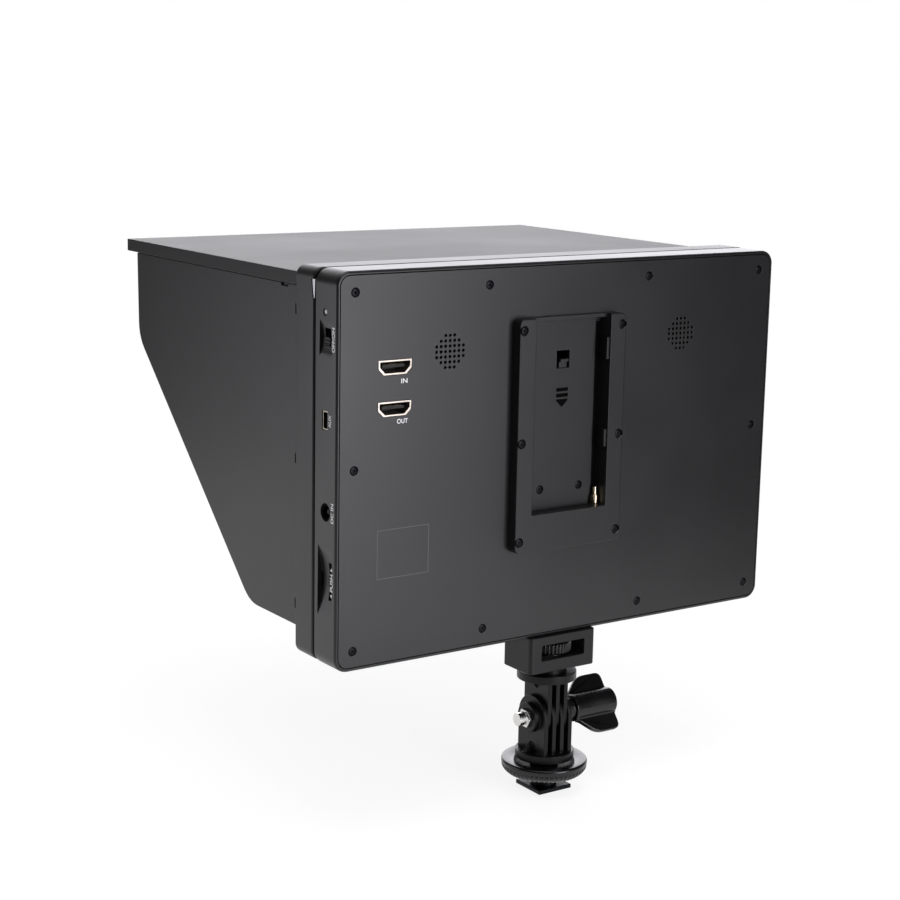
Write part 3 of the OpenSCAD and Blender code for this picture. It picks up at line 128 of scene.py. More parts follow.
# Turned or plated metal: fine tool marks stretch its highlights along one axis
def turnedMetal(name, spec):
    material, tree, shader, place = newMaterial(name, {"Metallic": 1.0, "Roughness": spec["roughness"]})
    stretch = addNode(tree, "ShaderNodeMapping", {"Scale": spec["stretch"]}, {"Vector": place})
    marks = noiseOn(tree, stretch.outputs["Vector"], spec["markMm"], 3.0)
    colourFrom(tree, shader, spec, marks)
    roughFrom(tree, shader, {"To Min": spec["roughness"] * 0.7, "To Max": spec["roughness"] * 1.4}, marks)
    bumpFrom(tree, shader, 0.15, 0.03, marks)
    return material


# Screen printed ink: a thin matt layer whose cover is a little uneven
def printedInk(name, spec):
    material, tree, shader, place = newMaterial(name, {"Roughness": 0.6, "Specular IOR Level": 0.3})
    colourFrom(tree, shader, spec, noiseOn(tree, place, spec["blotchMm"]))
    return material


# Cover glass over a dark polariser: black, mirror smooth, with a faint smear
def coverGlass(name, spec):
    material, tree, shader, place = newMaterial(name, {"IOR": 1.52, "Coat Weight": 0.4,
                                                       "Coat Roughness": 0.04})
    smear = noiseOn(tree, place, spec["smearMm"], 4.0)
    colourFrom(tree, shader, spec, smear)
    roughFrom(tree, shader, {"To Min": 0.05, "To Max": 0.14}, smear)
    return material


# Solder mask on a circuit board: black lacquer with tracks just showing through
def solderMask(name, spec):
    material, tree, shader, place = newMaterial(name, {"Coat Weight": 0.3, "Coat Roughness": 0.1,
                                                       "Roughness": 0.35})
    turned = addNode(tree, "ShaderNodeMapping", {"Rotation": (math.radians(90), 0, 0)}, {"Vector": place})
    tracks = addNode(tree, "ShaderNodeTexBrick", {
        "Scale": 1.0, "Brick Width": spec["trackMm"] * 6 * mm, "Row Height": spec["trackMm"] * mm,
        "Mortar Size": 0.25 * mm, "Color1": toLinear(spec["light"]), "Color2": toLinear(spec["mid"]),
        "Mortar": toLinear(spec["dark"])}, {"Vector": turned.outputs["Vector"]})
    tree.links.new(tracks.outputs["Color"], shader.inputs["Base Color"])
    return material


# Closed foam: dull, with small pores
def closedFoam(name, spec):
    material, tree, shader, place = newMaterial(name, {"Roughness": 0.95})
    pores = addNode(tree, "ShaderNodeTexVoronoi", {"Scale": 1 / (spec["poreMm"] * mm)}, {"Vector": place})
    colourFrom(tree, shader, spec, pores.outputs["Distance"])
    bumpFrom(tree, shader, 0.5, 0.1, pores.outputs["Distance"])
    return material


finishes = {
    "housing": {"dark": "#0d0d0e", "light": "#111112", "roughness": 0.37, "spread": 0.02, "sheen": 0.5,
                "cloudMm": 45, "grainMm": 0.9, "bump": 0.12, "depthMm": 0.04},
    "hood": {"dark": "#0d0d0e", "light": "#111112", "roughness": 0.42, "spread": 0.02, "sheen": 0.5,
             "cloudMm": 60, "grainMm": 1.0, "bump": 0.12, "depthMm": 0.04},
    "lid": {"dark": "#101011", "light": "#151516", "roughness": 0.52, "spread": 0.02, "sheen": 0.4,
            "cloudMm": 70, "grainMm": 1.0, "bump": 0.14, "depthMm": 0.04},
    "plate": {"dark": "#0c0c0d", "light": "#101011", "roughness": 0.40, "spread": 0.02, "sheen": 0.45,
              "cloudMm": 30, "grainMm": 0.8, "bump": 0.10, "depthMm": 0.03},
    "nylon": {"dark": "#060607", "light": "#09090a", "roughness": 0.33, "spread": 0.05, "sheen": 0.22,
              "cloudMm": 8, "grainMm": 0.6, "bump": 0.2, "depthMm": 0.05},
    "ring": {"dark": "#050506", "light": "#08080a", "roughness": 0.22, "spread": 0.04, "sheen": 0.4,
             "cloudMm": 12, "grainMm": 0.5, "bump": 0.1, "depthMm": 0.03},
    "knob": {"dark": "#060607", "light": "#0a0a0b", "roughness": 0.27, "spread": 0.04, "sheen": 0.4,
             "cloudMm": 10, "grainMm": 0.5, "bump": 0.12, "depthMm": 0.03},
    "block": {"dark": "#0a0a0b", "light": "#0f0f10", "roughness": 0.46, "spread": 0.04, "sheen": 0.3,
              "cloudMm": 12, "grainMm": 0.6, "bump": 0.2, "depthMm": 0.05},
    "controls": {"dark": "#060607", "light": "#0a0a0b", "roughness": 0.45, "spread": 0.04, "sheen": 0.3,
                 "cloudMm": 5, "grainMm": 0.4, "bump": 0.1, "depthMm": 0.02},
    "shade": {"dark": "#020202", "light": "#040404", "roughness": 0.8, "spread": 0.05, "sheen": 0.05,
              "cloudMm": 2, "grainMm": 0.3, "bump": 0.2, "depthMm": 0.02},
    "connector": {"dark": "#0c0b0a", "light": "#12110f", "roughness": 0.5, "spread": 0.05, "sheen": 0.3,
                  "cloudMm": 4, "grainMm": 0.3, "bump": 0.1, "depthMm": 0.02},
}
housingAbs = mouldedAbs("moulded black ABS, housing", finishes["housing"])
hoodAbs = mouldedAbs("moulded black ABS, sun hood", finishes["hood"])
lidAbs = mouldedAbs("moulded black ABS, hood lid", finishes["lid"])
plateAbs = mouldedAbs("moulded black ABS, battery plate", finishes["plate"])
nylonBlack = mouldedAbs("glass filled nylon, fork", finishes["nylon"])
ringNylon = mouldedAbs("turned and polished nylon, lock ring", finishes["ring"])
knobNylon = mouldedAbs("moulded nylon, knob", finishes["knob"])
blockAbs = mouldedAbs("moulded ABS, adapter block", finishes["block"])
controlAbs = mouldedAbs("moulded ABS, side controls", finishes["controls"])
# a near-black matt colour that paints shade: on the slide mark's recess floors, the channel's floor grooves
# and the power inlet
paintedShadeBlack = mouldedAbs("near black matt sheet painted as shade, recesses", finishes["shade"])
lcpAndSocketShade = mouldedAbs("liquid crystal polymer, connector bodies", finishes["connector"])
speakerFibre = mouldedAbs("pressed fibre, speaker cones", {
    "dark": "#17181a", "light": "#222325", "roughness": 0.8, "spread": 0.05, "sheen": 0.2,
    "cloudMm": 4, "grainMm": 0.5, "bump": 0.3, "depthMm": 0.05})
filmTan = mouldedAbs("polyimide film, flat cable", {
    "dark": "#9c8350", "light": "#b89c62", "roughness": 0.3, "spread": 0.05, "sheen": 0.5,
    "cloudMm": 6, "grainMm": 0.8, "bump": 0.05, "depthMm": 0.02})
diffuserWhite = mouldedAbs("opal acrylic, backlight", {
    "dark": "#d5d8da", "light": "#e2e4e6", "roughness": 0.4, "spread": 0.03, "sheen": 0.5,
    "cloudMm": 40, "grainMm": 1.2, "bump": 0.02, "depthMm": 0.02})
# the lens's pale grey is a painted highlight that stands for the glint on a small dark lens
lensPaintedGlint = mouldedAbs("pale acrylic with a painted glint, lamp lens", {
    "dark": "#8b8d90", "light": "#b9bbbe", "roughness": 0.16, "spread": 0.03, "sheen": 0.6,
    "cloudMm": 1, "grainMm": 0.4, "bump": 0.05, "depthMm": 0.02})
panelGloss = mouldedAbs("polariser film, display panel", {
    "dark": "#0b0c0f", "light": "#101116", "roughness": 0.2, "spread": 0.03, "sheen": 0.5,
    "cloudMm": 50, "grainMm": 0.7, "bump": 0.03, "depthMm": 0.02})
blackOxideAndPinShade = turnedMetal("black oxide steel, screws", {
    "dark": "#171719", "light": "#242427", "roughness": 0.36, "markMm": 0.5, "stretch": (1, 3, 1)})
anodisedBlack = turnedMetal("black anodised aluminium, shoe foot", {
    "dark": "#191a1c", "light": "#242528", "roughness": 0.38, "markMm": 0.7, "stretch": (1, 1, 3)})
brightSteel = turnedMetal("turned stainless steel, nut and bolt", {
    "dark": "#c4c3c2", "light": "#e9e7e5", "roughness": 0.22, "markMm": 0.6, "stretch": (4, 1, 1)})
zincSteel = turnedMetal("zinc plated steel, inner fasteners", {
    "dark": "#8f9092", "light": "#b4b5b8", "roughness": 0.35, "markMm": 0.8, "stretch": (1, 1, 1)})
nickelPlate = turnedMetal("nickel plated steel, socket shells", {
    "dark": "#a79e94", "light": "#cbc3b8", "roughness": 0.3, "markMm": 0.9, "stretch": (1, 2, 1)})
goldPlate = turnedMetal("gold plated brass, contacts", {
    "dark": "#c2ad88", "light": "#f0e3c8", "roughness": 0.2, "markMm": 0.5, "stretch": (1, 1, 4)})
turnedBrass = turnedMetal("turned brass, tripod bush", {
    "dark": "#a88a4e", "light": "#cdb173", "roughness": 0.3, "markMm": 0.6, "stretch": (1, 1, 4)})
pressedAluminium = turnedMetal("pressed aluminium, bracket", {
    "dark": "#9a9b9d", "light": "#b9babc", "roughness": 0.4, "markMm": 1.0, "stretch": (0.2, 1, 2)})
springSteel = turnedMetal("spring steel, hood clips", {
    "dark": "#a9aaad", "light": "#cfd0d3", "roughness": 0.3, "markMm": 0.8, "stretch": (1, 1, 3)})
whiteInk = printedInk("screen printed white ink", {"dark": "#c9c9c9", "light": "#e6e6e6", "blotchMm": 0.4})
greyInk = printedInk("screen printed grey ink", {"dark": "#4a4a4d", "light": "#5b5b5e", "blotchMm": 0.4})
screenGlass = coverGlass("tempered glass over a dark panel", {
    "dark": "#050506", "light": "#08090b", "smearMm": 35})
boardLacquer = solderMask("black solder mask, circuit boards", {
    "light": "#101213", "mid": "#0d0f10", "dark": "#1c1f20", "trackMm": 1.2})
foamBlack = closedFoam("closed foam, speaker rings", {"dark": "#0e0e0e", "light": "#1b1b1b", "poreMm": 0.5})

materialOf = {
    "shoe_foot": anodisedBlack, "fork_base": nylonBlack, "cap_nut": brightSteel,
    "lock_ring": ringNylon, "wing_knob": knobNylon, "tilt_bolt": brightSteel,
    "tilt_head": nylonBlack, "swivel_washer": zincSteel, "swivel_screw": zincSteel,
    "adapter_block": blockAbs, "thumbwheel": knobNylon, "tripod_screw": brightSteel,
    "tripod_bush": turnedBrass, "mid_housing": housingAbs, "rear_cover": housingAbs,
    "cover_screws": blackOxideAndPinShade, "front_bezel": housingAbs, "bezel_screws": zincSteel,
    "cover_glass": screenGlass, "display_panel": panelGloss, "backlight": diffuserWhite,
    "panel_bracket": pressedAluminium, "main_board": boardLacquer, "io_board": boardLacquer,
    "display_cable": filmTan, "video_in_socket": nickelPlate, "video_out_socket": nickelPlate,
    # the power inlet's body takes the near-black shade material and its pin the dark screw steel, as
    # painted shade of the deep hole
    "video_tongues": lcpAndSocketShade, "data_socket": nickelPlate, "power_inlet": paintedShadeBlack,
    "inlet_pin": blackOxideAndPinShade, "right_speaker": speakerFibre, "left_speaker": speakerFibre,
    "speaker_gaskets": foamBlack, "switch_body": lcpAndSocketShade, "switch_knob": controlAbs,
    "dial_base": zincSteel, "dial_carrier": controlAbs, "dial_wheel": controlAbs,
    "status_lamp": lensPaintedGlint, "battery_plate": plateAbs, "plate_screws": blackOxideAndPinShade,
    "floor_screws": blackOxideAndPinShade, "contact_block": lcpAndSocketShade, "battery_contacts": goldPlate,
    "battery_catch": plateAbs, "catch_pin": brightSteel, "hood_frame": hoodAbs,
    "hood_screws": zincSteel, "hood_clips": springSteel, "hood_lid": lidAbs,
    "lid_pins": brightSteel, "right_flap": hoodAbs, "left_flap": hoodAbs, "flap_pins": brightSteel,
}
for partName, part in parts.items():
    part.data.materials.clear()
    part.data.materials.append(materialOf[partName])
print("materials made:", len(bpy.data.materials))


# building helpers

def addPiece(name, mesh, body, material, stands=()):
    piece = bpy.data.objects.new(name, mesh)
    scene.collection.objects.link(piece)
    mesh.materials.clear()
    mesh.materials.append(material)
    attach(piece, body)
    if stands:
        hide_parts(*stands)
    return piece


def standIn(name, mesh, partName):
    # a piece that takes a part's place, body and material
    return addPiece(name, mesh, bodyOf[partName], materialOf[partName], (partName,))


def roundEdges(piece, widthMm, segments):
    # each edge's bevel weight says what share of the width it takes
    bevel = piece.modifiers.new("rounded edges", "BEVEL")
    bevel.width = widthMm * mm
    bevel.segments = segments
    bevel.use_clamp_overlap = False
    bevel.limit_method = "WEIGHT"
    bevel.miter_outer = "MITER_ARC"
    bevel.loop_slide = False
    piece.modifiers.new("even shading", "WEIGHTED_NORMAL").keep_sharp = True


cornerAngle = math.radians(28)  # a sharper fold than this is an edge that gets rounded
flatAngle = math.radians(0.4)  # faces that meet flatter than this are joined


def distanceInside(x, z, outline):
    # how far a point lies inside a rounded rectangle, in millimetres
    half = (outline["w"] / 2 - outline["r"], outline["h"] / 2 - outline["r"])
    dx = abs(x) - half[0]
    dz = abs(z - outline["z"]) - half[1]
    if dx > 0 and dz > 0:
        return outline["r"] - math.hypot(dx, dz)
    return outline["r"] - max(dx, dz)


def cutAcross(bm, axis, atMm):
    # splits the faces along a plane and keeps the cut when flat faces are joined
    normal = Vector([1.0 if axis == i else 0.0 for i in range(3)])
    whole = bm.verts[:] + bm.edges[:] + bm.faces[:]
    cut = bmesh.ops.bisect_plane(bm, geom=whole, dist=0.001 * mm, plane_co=normal * atMm * mm,
                                 plane_no=normal)
    for item in cut["geom_cut"]:
        if isinstance(item, bmesh.types.BMEdge):
            item.seam = True


def dressPart(partName, spec):
    # a clean copy of a part with its flat faces joined up, so that its edges can be rounded
    mesh = parts[partName].data.copy()
    bm = bmesh.new()
    bm.from_mesh(mesh)
    bmesh.ops.remove_doubles(bm, verts=bm.verts, dist=0.0005 * mm)
    for axis, atMm in spec.get("cuts", []):
        cutAcross(bm, axis, atMm)
    bmesh.ops.dissolve_limit(bm, angle_limit=flatAngle, verts=bm.verts, edges=bm.edges, delimit={"SEAM"})
    reach = spec.get("reachX")
    for v in bm.verts:
        if reach and abs(v.co.x) > reach * mm:
            v.co.x = math.copysign(reach * mm, v.co.x)
    widest = max([spec["round"]] + [rule["width"] for rule in spec.get("rules", [])])
    layer = bm.edges.layers.float.new("bevel_weight_edge")
    for edge in bm.edges:
        if len(edge.link_faces) != 2 or edge.calc_face_angle(0) < cornerAngle:
            continue
        width = spec["round"]
        a, b = (v.co / mm for v in edge.verts)
        for rule in spec.get("rules", []):
            if rule["test"](a, b):
                width = rule["width"]
        edge[layer] = width / widest
        edge.smooth = width > 0
    for face in bm.faces:
        face.smooth = not spec.get("flat")
    bm.to_mesh(mesh)
    bm.free()
    piece = standIn(spec["name"], mesh, partName)
    roundEdges(piece, widest, spec.get("segments", 3))
    return piece


def meshFrom(bm, name, smooth=True):
    for face in bm.faces:
        face.smooth = smooth
    bmesh.ops.recalc_face_normals(bm, faces=bm.faces)
    mesh = bpy.data.meshes.new(name)
    bm.to_mesh(mesh)
    bm.free()
    return mesh


def revolve(bm, profile, steps):
    # turns a profile of (radius, height) points in millimetres about the local Z axis
    rings = []
    for radius, height in profile:
        ring = []
        for i in range(steps):
            turn = 2 * math.pi * i / steps
            point = Vector((radius * math.cos(turn), radius * math.sin(turn), height))
            ring.append(bm.verts.new(point * mm))
        rings.append(ring)
    for low, high in zip(rings, rings[1:]):
        for i in range(steps):
            j = (i + 1) % steps
            bm.faces.new((low[i], low[j], high[j], high[i]))
    bm.faces.new(list(reversed(rings[0])))
    bm.faces.new(rings[-1])


def cutAway(mesh, cutter):
    # cuts one mesh out of another and gives back the result
    body = bpy.data.objects.new("cut body", mesh)
    tool = bpy.data.objects.new("cut tool", cutter)
    for item in (body, tool):
        scene.collection.objects.link(item)
    change = body.modifiers.new("cut", "BOOLEAN")
    change.operation = "DIFFERENCE"
    change.solver = "EXACT"
    change.object = tool
    graph = bpy.context.evaluated_depsgraph_get()
    result = bpy.data.meshes.new_from_object(body.evaluated_get(graph))
    for item in (body, tool):
        bpy.data.objects.remove(item)
    return result


# monitor shells

def partBox(partName):
    # lowest and highest corner of a part, in millimetres
    low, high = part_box(partName)
    return Vector(low) / mm, Vector(high) / mm


def outlineOf(partName, cornerR):
    low, high = partBox(partName)
    return {"w": high.x - low.x, "h": high.z - low.z, "r": cornerR, "z": (high.z + low.z) / 2}


housingLow, housingHigh = partBox("mid_housing")
shell = {
    "outline": outlineOf("mid_housing", 6.5), "hoodOutline": outlineOf("hood_frame", 4.5),
    "backY": housingHigh.y, "frontY": housingLow.y, "hoodBackY": housingLow.y - 1.3,
    "hoodFrontY": partBox("right_flap")[1].y + 0.25, "hoodFrontRound": 0.5,
    "rearRound": 1.2, "seamRound": 0.8, "small": 0.15, "inkRoom": 0.05,
}
sameFace = 0.05  # millimetres within which a point counts as on a face
sameOutline = 0.1


def onOutline(outline, y):
    def test(a, b):
        return all(abs(v.y - y) < sameFace and distanceInside(v.x, v.z, outline) < sameOutline
                   for v in (a, b))
    return test


# the housing's copy lies a hair inside the CAD part, so that the side's printing stays within its box
dressPart("mid_housing", {"name": "housing_ring", "round": shell["small"],
                          "reachX": housingHigh.x - shell["inkRoom"], "rules": [
    {"width": shell["rearRound"], "test": onOutline(shell["outline"], shell["backY"])},
    {"width": shell["seamRound"], "test": onOutline(shell["outline"], shell["frontY"])}]})
dressPart("rear_cover", {"name": "back_cover", "round": 0.18, "segments": 2})
dressPart("front_bezel", {"name": "screen_bezel", "round": 0.25, "segments": 2})
dressPart("hood_frame", {"name": "hood_ring", "round": shell["small"], "segments": 2, "rules": [
    {"width": shell["hoodFrontRound"], "test": onOutline(shell["hoodOutline"], shell["hoodFrontY"])},
    {"width": shell["seamRound"], "test": onOutline(shell["hoodOutline"], shell["hoodBackY"])}]})

# battery plate
plateLow, plateHigh = partBox("battery_plate")
plateMidX = (plateLow.x + plateHigh.x) / 2
channelHalf = 21.5
plateSpec = {"sideFrom": 26, "topBand": 1, "footBand": 3, "rimRound": 0.45, "round": 0.2, "floorBelow": 1.5}
# head radius, the screws' upper step and their full height, and the room kept round each bore
screwPlan = {"radius": 1.95, "inset": 1.9, "step": 44.7, "tall": 94.8, "boreRoom": 2.55, "cutRoom": 2.6}
screwLow, screwHigh = partBox("plate_screws")
screwColumns = [screwLow.x + screwPlan["inset"], screwHigh.x - screwPlan["inset"]]
screwRows = [screwLow.z + screwPlan["inset"], screwLow.z + screwPlan["inset"] + screwPlan["step"],
             screwHigh.z - screwPlan["inset"]]


def onPlateRim(a, b):
    if min(a.y, b.y) < plateHigh.y - sameFace:
        return False
    away = max(abs(a.x - plateMidX), abs(b.x - plateMidX))
    tall = (max(a.z, b.z) > plateHigh.z - plateSpec["topBand"]
            or min(a.z, b.z) < plateLow.z + plateSpec["footBand"])
    return away > plateSpec["sideFrom"] or (tall and away > channelHalf)


def onScrewBore(a, b):
    # the heads fill their bores, whose rims stay sharp
    middle = (a + b) / 2
    return any(math.hypot(middle.x - x, middle.z - z) < screwPlan["boreRoom"]
               for x in screwColumns for z in screwRows)


def onPlateFloor(a, b):
    return max(a.y, b.y) < housingHigh.y - plateSpec["floorBelow"]


# the face is cut through and beside its bores, because slivers from bore to bore would show as lines
plateCuts = [(0, x) for x in screwColumns]
plateCuts += [(2, row + room) for row in screwRows
              for room in (-screwPlan["cutRoom"], 0, screwPlan["cutRoom"])]
dressPart("battery_plate", {
    "name": "battery_mount", "round": plateSpec["round"], "segments": 2, "flat": True, "cuts": plateCuts,
    "rules": [{"width": 0.0, "test": onScrewBore}, {"width": plateSpec["rimRound"], "test": onPlateRim},
              {"width": 0.0, "test": onPlateFloor}]})
print("shells dressed")

# hood

dressPart("hood_lid", {"name": "hood_top", "round": 0.3, "segments": 2})
dressPart("right_flap", {"name": "hood_side_right", "round": 0.3, "segments": 2})
dressPart("left_flap", {"name": "hood_side_left", "round": 0.3, "segments": 2})
dressPart("hood_clips", {"name": "seam_clips", "round": 0.12, "segments": 2})
print("hood dressed")

# sockets, controls and contacts

for partName, pieceName, width in (
        ("video_in_socket", "input_shell", 0.12), ("video_out_socket", "output_shell", 0.12),
        ("video_tongues", "socket_tongue_pair", 0.08),
        ("power_inlet", "inlet_body", 0.15), ("switch_knob", "switch_slider", 0.12),
        ("dial_wheel", "jog_wheel", 0.15), ("dial_carrier", "jog_yoke", 0.12),
        ("status_lamp", "lamp_lens", 0.15), ("contact_block", "contact_holder", 0.15),
        ("battery_contacts", "contact_pins", 0.2), ("battery_catch", "catch_tongue", 0.15)):
    dressPart(partName, {"name": pieceName, "round": width, "segments": 2})

# the data socket's outward rim keeps the bright plating, and all faces behind it take the dark connector
# material as painted shade
rimSpec = {"facing": 0.7, "outsideX": 0.119}
dataShell = dressPart("data_socket", {"name": "data_shell", "round": 0.08, "segments": 2})
dataShell.data.materials.append(lcpAndSocketShade)
for face in dataShell.data.polygons:
    onRim = face.normal.x > rimSpec["facing"] and face.center.x > rimSpec["outsideX"]
    face.material_index = 0 if onRim else 1

# rows of small contacts on the upper side of both tongues
contactRow = {"count": 9, "pitchMm": 1.0, "wideMm": 0.45, "deepMm": 4.2, "thickMm": 0.12, "backMm": 0.4,
              "riseMm": 1.0, "roundMm": 0.03}


def contactsOn(name, socketNames, spec):
    bm = bmesh.new()
    tongueHigh = partBox("video_tongues")[1]
    for socketName in socketNames:
        low, high = partBox(socketName)
        middle = (low + high) / 2
        for i in range(spec["count"]):
            x = middle.x + (i - (spec["count"] - 1) / 2) * spec["pitchMm"]
            size = Vector((spec["wideMm"], spec["deepMm"], spec["thickMm"]))
            centre = Vector((x, tongueHigh.y - spec["backMm"] - spec["deepMm"] / 2,
                             middle.z + spec["riseMm"] + spec["thickMm"] / 2))
            box = bmesh.ops.create_cube(bm, size=1)["verts"]
            for v in box:
                v.co = Vector([centre[k] + v.co[k] * size[k] for k in range(3)]) * mm
    bmesh.ops.bevel(bm, geom=list(bm.edges), offset=spec["roundMm"] * mm, segments=1, affect="EDGES")
    return addPiece(name, meshFrom(bm, name, False), bodyOf["video_tongues"], goldPlate)


contactsOn("tongue_contacts", ("video_in_socket", "video_out_socket"), contactRow)
print("sockets and controls dressed")

# adapter

dressPart("shoe_foot", {"name": "foot_plate", "round": 0.3, "segments": 2})
dressPart("fork_base", {"name": "lower_fork", "round": 0.3, "segments": 3})
dressPart("tilt_head", {"name": "upper_fork", "round": 0.3, "segments": 3})
dressPart("cap_nut", {"name": "end_nut", "round": 0.25, "segments": 3})
dressPart("adapter_block", {"name": "mount_block", "round": 0.4, "segments": 3})
dressPart("wing_knob", {"name": "wing_handle", "round": 0.7, "segments": 3})


ribSteps = 8  # points round each rib


def ribbedTurn(name, partName, spec):
    # a ring turned about the part's own upright axis; share says how far the ribs bite at each point
    low, high = partBox(partName)
    steps = spec["ribs"] * ribSteps
    bm = bmesh.new()
    rings = []
    for radius, height, share in spec["profile"]:
        ring = []
        for i in range(steps):
            wave = 0.5 - 0.5 * math.cos(2 * math.pi * i / ribSteps)
            r = radius - spec["bite"] * share * wave ** 2
            turn = 2 * math.pi * i / steps
            ring.append(bm.verts.new(Vector((r * math.cos(turn), r * math.sin(turn), low.z + height)) * mm))
        rings.append(ring)
    for inner, outer in zip(rings, rings[1:] + rings[:1]):
        for i in range(steps):
            j = (i + 1) % steps
            bm.faces.new((inner[i], inner[j], outer[j], outer[i]))
    return standIn(name, meshFrom(bm, name), partName)


# profiles run up the outside and back down the bore: radius, height, share of the ribs
ringLow, ringHigh = partBox("lock_ring")
ringSpec = {"ribs": 54, "bite": 1.1, "bore": 6.3}
edge, top, bore = ringHigh.x, ringHigh.z - ringLow.z, ringSpec["bore"]
ringSpec["profile"] = [
    (bore, 0, 0), (edge - 3.4, 0, 0), (edge - 2.6, 0.1, 0.6), (edge - 1.2, 1.3, 1), (edge - 0.3, 2.6, 1),
    (edge - 0.1, 3.6, 1), (edge - 0.1, 4.1, 0.5), (edge - 0.05, 4.5, 0), (edge, 4.8, 0),
    (edge, top - 0.9, 0), (edge - 0.2, top - 0.35, 0), (edge - 0.6, top - 0.05, 0), (edge - 1.0, top, 0),
    (bore, top, 0)]
ribbedTurn("clamp_ring", "lock_ring", ringSpec)
wheelLow, wheelHigh = partBox("thumbwheel")
wheelSpec = {"ribs": 38, "bite": 0.9, "bore": 3.2}
edge, top, bore = wheelHigh.y, wheelHigh.z - wheelLow.z, wheelSpec["bore"]
wheelSpec["profile"] = [
    (bore, 0, 0), (edge - 1.5, 0, 0), (edge - 0.6, 0.1, 0.6), (edge - 0.1, 0.5, 1), (edge, 0.9, 1),
    (edge, top - 0.9, 1), (edge - 0.1, top - 0.5, 1), (edge - 0.6, top - 0.1, 0.6), (edge - 1.5, top, 0),
    (bore, top, 0)]
ribbedTurn("finger_wheel", "thumbwheel", wheelSpec)
print("adapter dressed")

# screws with a cross recess

screwSpec = {"radius": screwPlan["radius"], "height": 1.2, "crown": 0.3, "slotLong": 1.9, "slotWide": 0.38,
             "slotDeep": 0.5, "slotTaper": 0.75}


def screwHead(spec):
    bm = bmesh.new()
    r, h, crown = spec["radius"], spec["height"], spec["crown"]
    revolve(bm, [(r * 0.96, 0), (r, 0.15), (r, h - crown * 1.5), (r * 0.9, h - crown * 0.7),
                 (r * 0.7, h - crown * 0.25), (r * 0.4, h - 0.03), (r * 0.1, h)], 32)
    head = meshFrom(bm, "screw head")
    for turn in (0, 90):
        # the slots are cut one by one, because a cutter that crosses itself leaves nothing
        bm = bmesh.new()
        spin = Matrix.Rotation(math.radians(turn), 4, "Z")
        for v in bmesh.ops.create_cube(bm, size=1)["verts"]:
            taper = spec["slotTaper"] if v.co.z < 0 else 1.0
            v.co = spin @ Vector((v.co.x * spec["slotLong"] * taper, v.co.y * spec["slotWide"] * taper,
                                  v.co.z * spec["slotDeep"] * 2 + h)) * mm
        head = cutAway(head, meshFrom(bm, "slot", False))
    return head


def screwSet(name, partName, places, turnStep):
    # places are (x, z) in millimetres with the height of the head's seat
    head = screwHead(screwSpec)
    bm = bmesh.new()
    for i, (x, z, seat) in enumerate(places):
        one = bmesh.new()
        one.from_mesh(head)
        place = Matrix.Translation(Vector((x, seat, z)) * mm) @ Matrix.Rotation(math.radians(-90), 4, "X")
        place = place @ Matrix.Rotation(math.radians(turnStep * i), 4, "Z")
        bmesh.ops.transform(one, matrix=place, verts=one.verts)
        turned = bpy.data.meshes.new("turned head")
        one.to_mesh(turned)
        one.free()
        bm.from_mesh(turned)
    for face in bm.faces:
        face.smooth = True
    mesh = bpy.data.meshes.new(name)
    bm.to_mesh(mesh)
    bm.free()
    piece = standIn(name, mesh, partName)
    piece.modifiers.new("even shading", "WEIGHTED_NORMAL")
    return piece


def screwPlaces(partName, columns, rows, seat):
    # the screws' middles, found from the corner ones of the part's box
    low, high = partBox(partName)
    inset = screwPlan["inset"]
    x0, x1, z0, z1 = low.x + inset, high.x - inset, low.z + inset, high.z - inset
    return [(x0 + (x1 - x0) * u, z0 + (z1 - z0) * v, seat) for u in columns for v in rows]


headHeight = screwSpec["height"]
# the cover's inner columns from its middle, and how far its side screws sit above half its height
coverPlan = {"column": 44.6, "lift": 1.9, "halfTall": 76.8}
coverLow, coverHigh = partBox("cover_screws")
coverSeat = coverHigh.y - headHeight
innerShare = 0.5 - coverPlan["column"] / (coverHigh.x - coverLow.x - 2 * screwPlan["inset"])
sideShare = 0.5 + coverPlan["lift"] / (2 * coverPlan["halfTall"])
coverPlaces = screwPlaces("cover_screws", (0, innerShare, 1 - innerShare, 1), (0, 1), coverSeat)
coverPlaces += screwPlaces("cover_screws", (0, 1), (sideShare,), coverSeat)
screwSet("cover_screw_heads", "cover_screws", coverPlaces, 37)
middleShare = screwPlan["step"] / screwPlan["tall"]
screwSet("plate_screw_heads", "plate_screws", screwPlaces(
    "plate_screws", (0, 1), (0, middleShare, 1), screwHigh.y - headHeight), 51)
floorLevel = partBox("floor_screws")[1].y
screwSet("floor_screw_heads", "floor_screws", screwPlaces(
    "floor_screws", (0, 1), (0.5,), floorLevel - headHeight), 64)
print("screws made")

# printed lettering

letterSpec = {"thickMm": 0.02, "liftMm": 0.01, "boldness": 0.012}


def printWords(name, word, middle, right, up):
    # right and up are the directions of the words' line and of the letters' tops
    curve = bpy.data.curves.new(name, "FONT")
    curve.body = word["says"]
    curve.align_x = "CENTER"
    curve.align_y = "CENTER"
    curve.size = 1.0
    curve.extrude = letterSpec["thickMm"] * 0.5
    curve.offset = letterSpec["boldness"]
    item = bpy.data.objects.new(name, curve)
    scene.collection.objects.link(item)
    bpy.context.view_layer.update()
    graph = bpy.context.evaluated_depsgraph_get()
    mesh = bpy.data.meshes.new_from_object(item.evaluated_get(graph))
    bpy.data.objects.remove(item)
    xs = [v.co.x for v in mesh.vertices]
    ys = [v.co.y for v in mesh.vertices]
    tall = word["tall"] * mm / (max(ys) - min(ys))
    wide = word["wide"] * mm / (max(xs) - min(xs))
    centre = Vector(((max(xs) + min(xs)) / 2, (max(ys) + min(ys)) / 2, 0))
    normal = right.cross(up)
    for v in mesh.vertices:
        p = v.co - centre
        v.co = (Vector(middle) * mm + right * (p.x * wide) + up * (p.y * tall)
                + normal * (p.z * mm + letterSpec["liftMm"] * mm))
    return addPiece(name, mesh, "monitor", whiteInk)


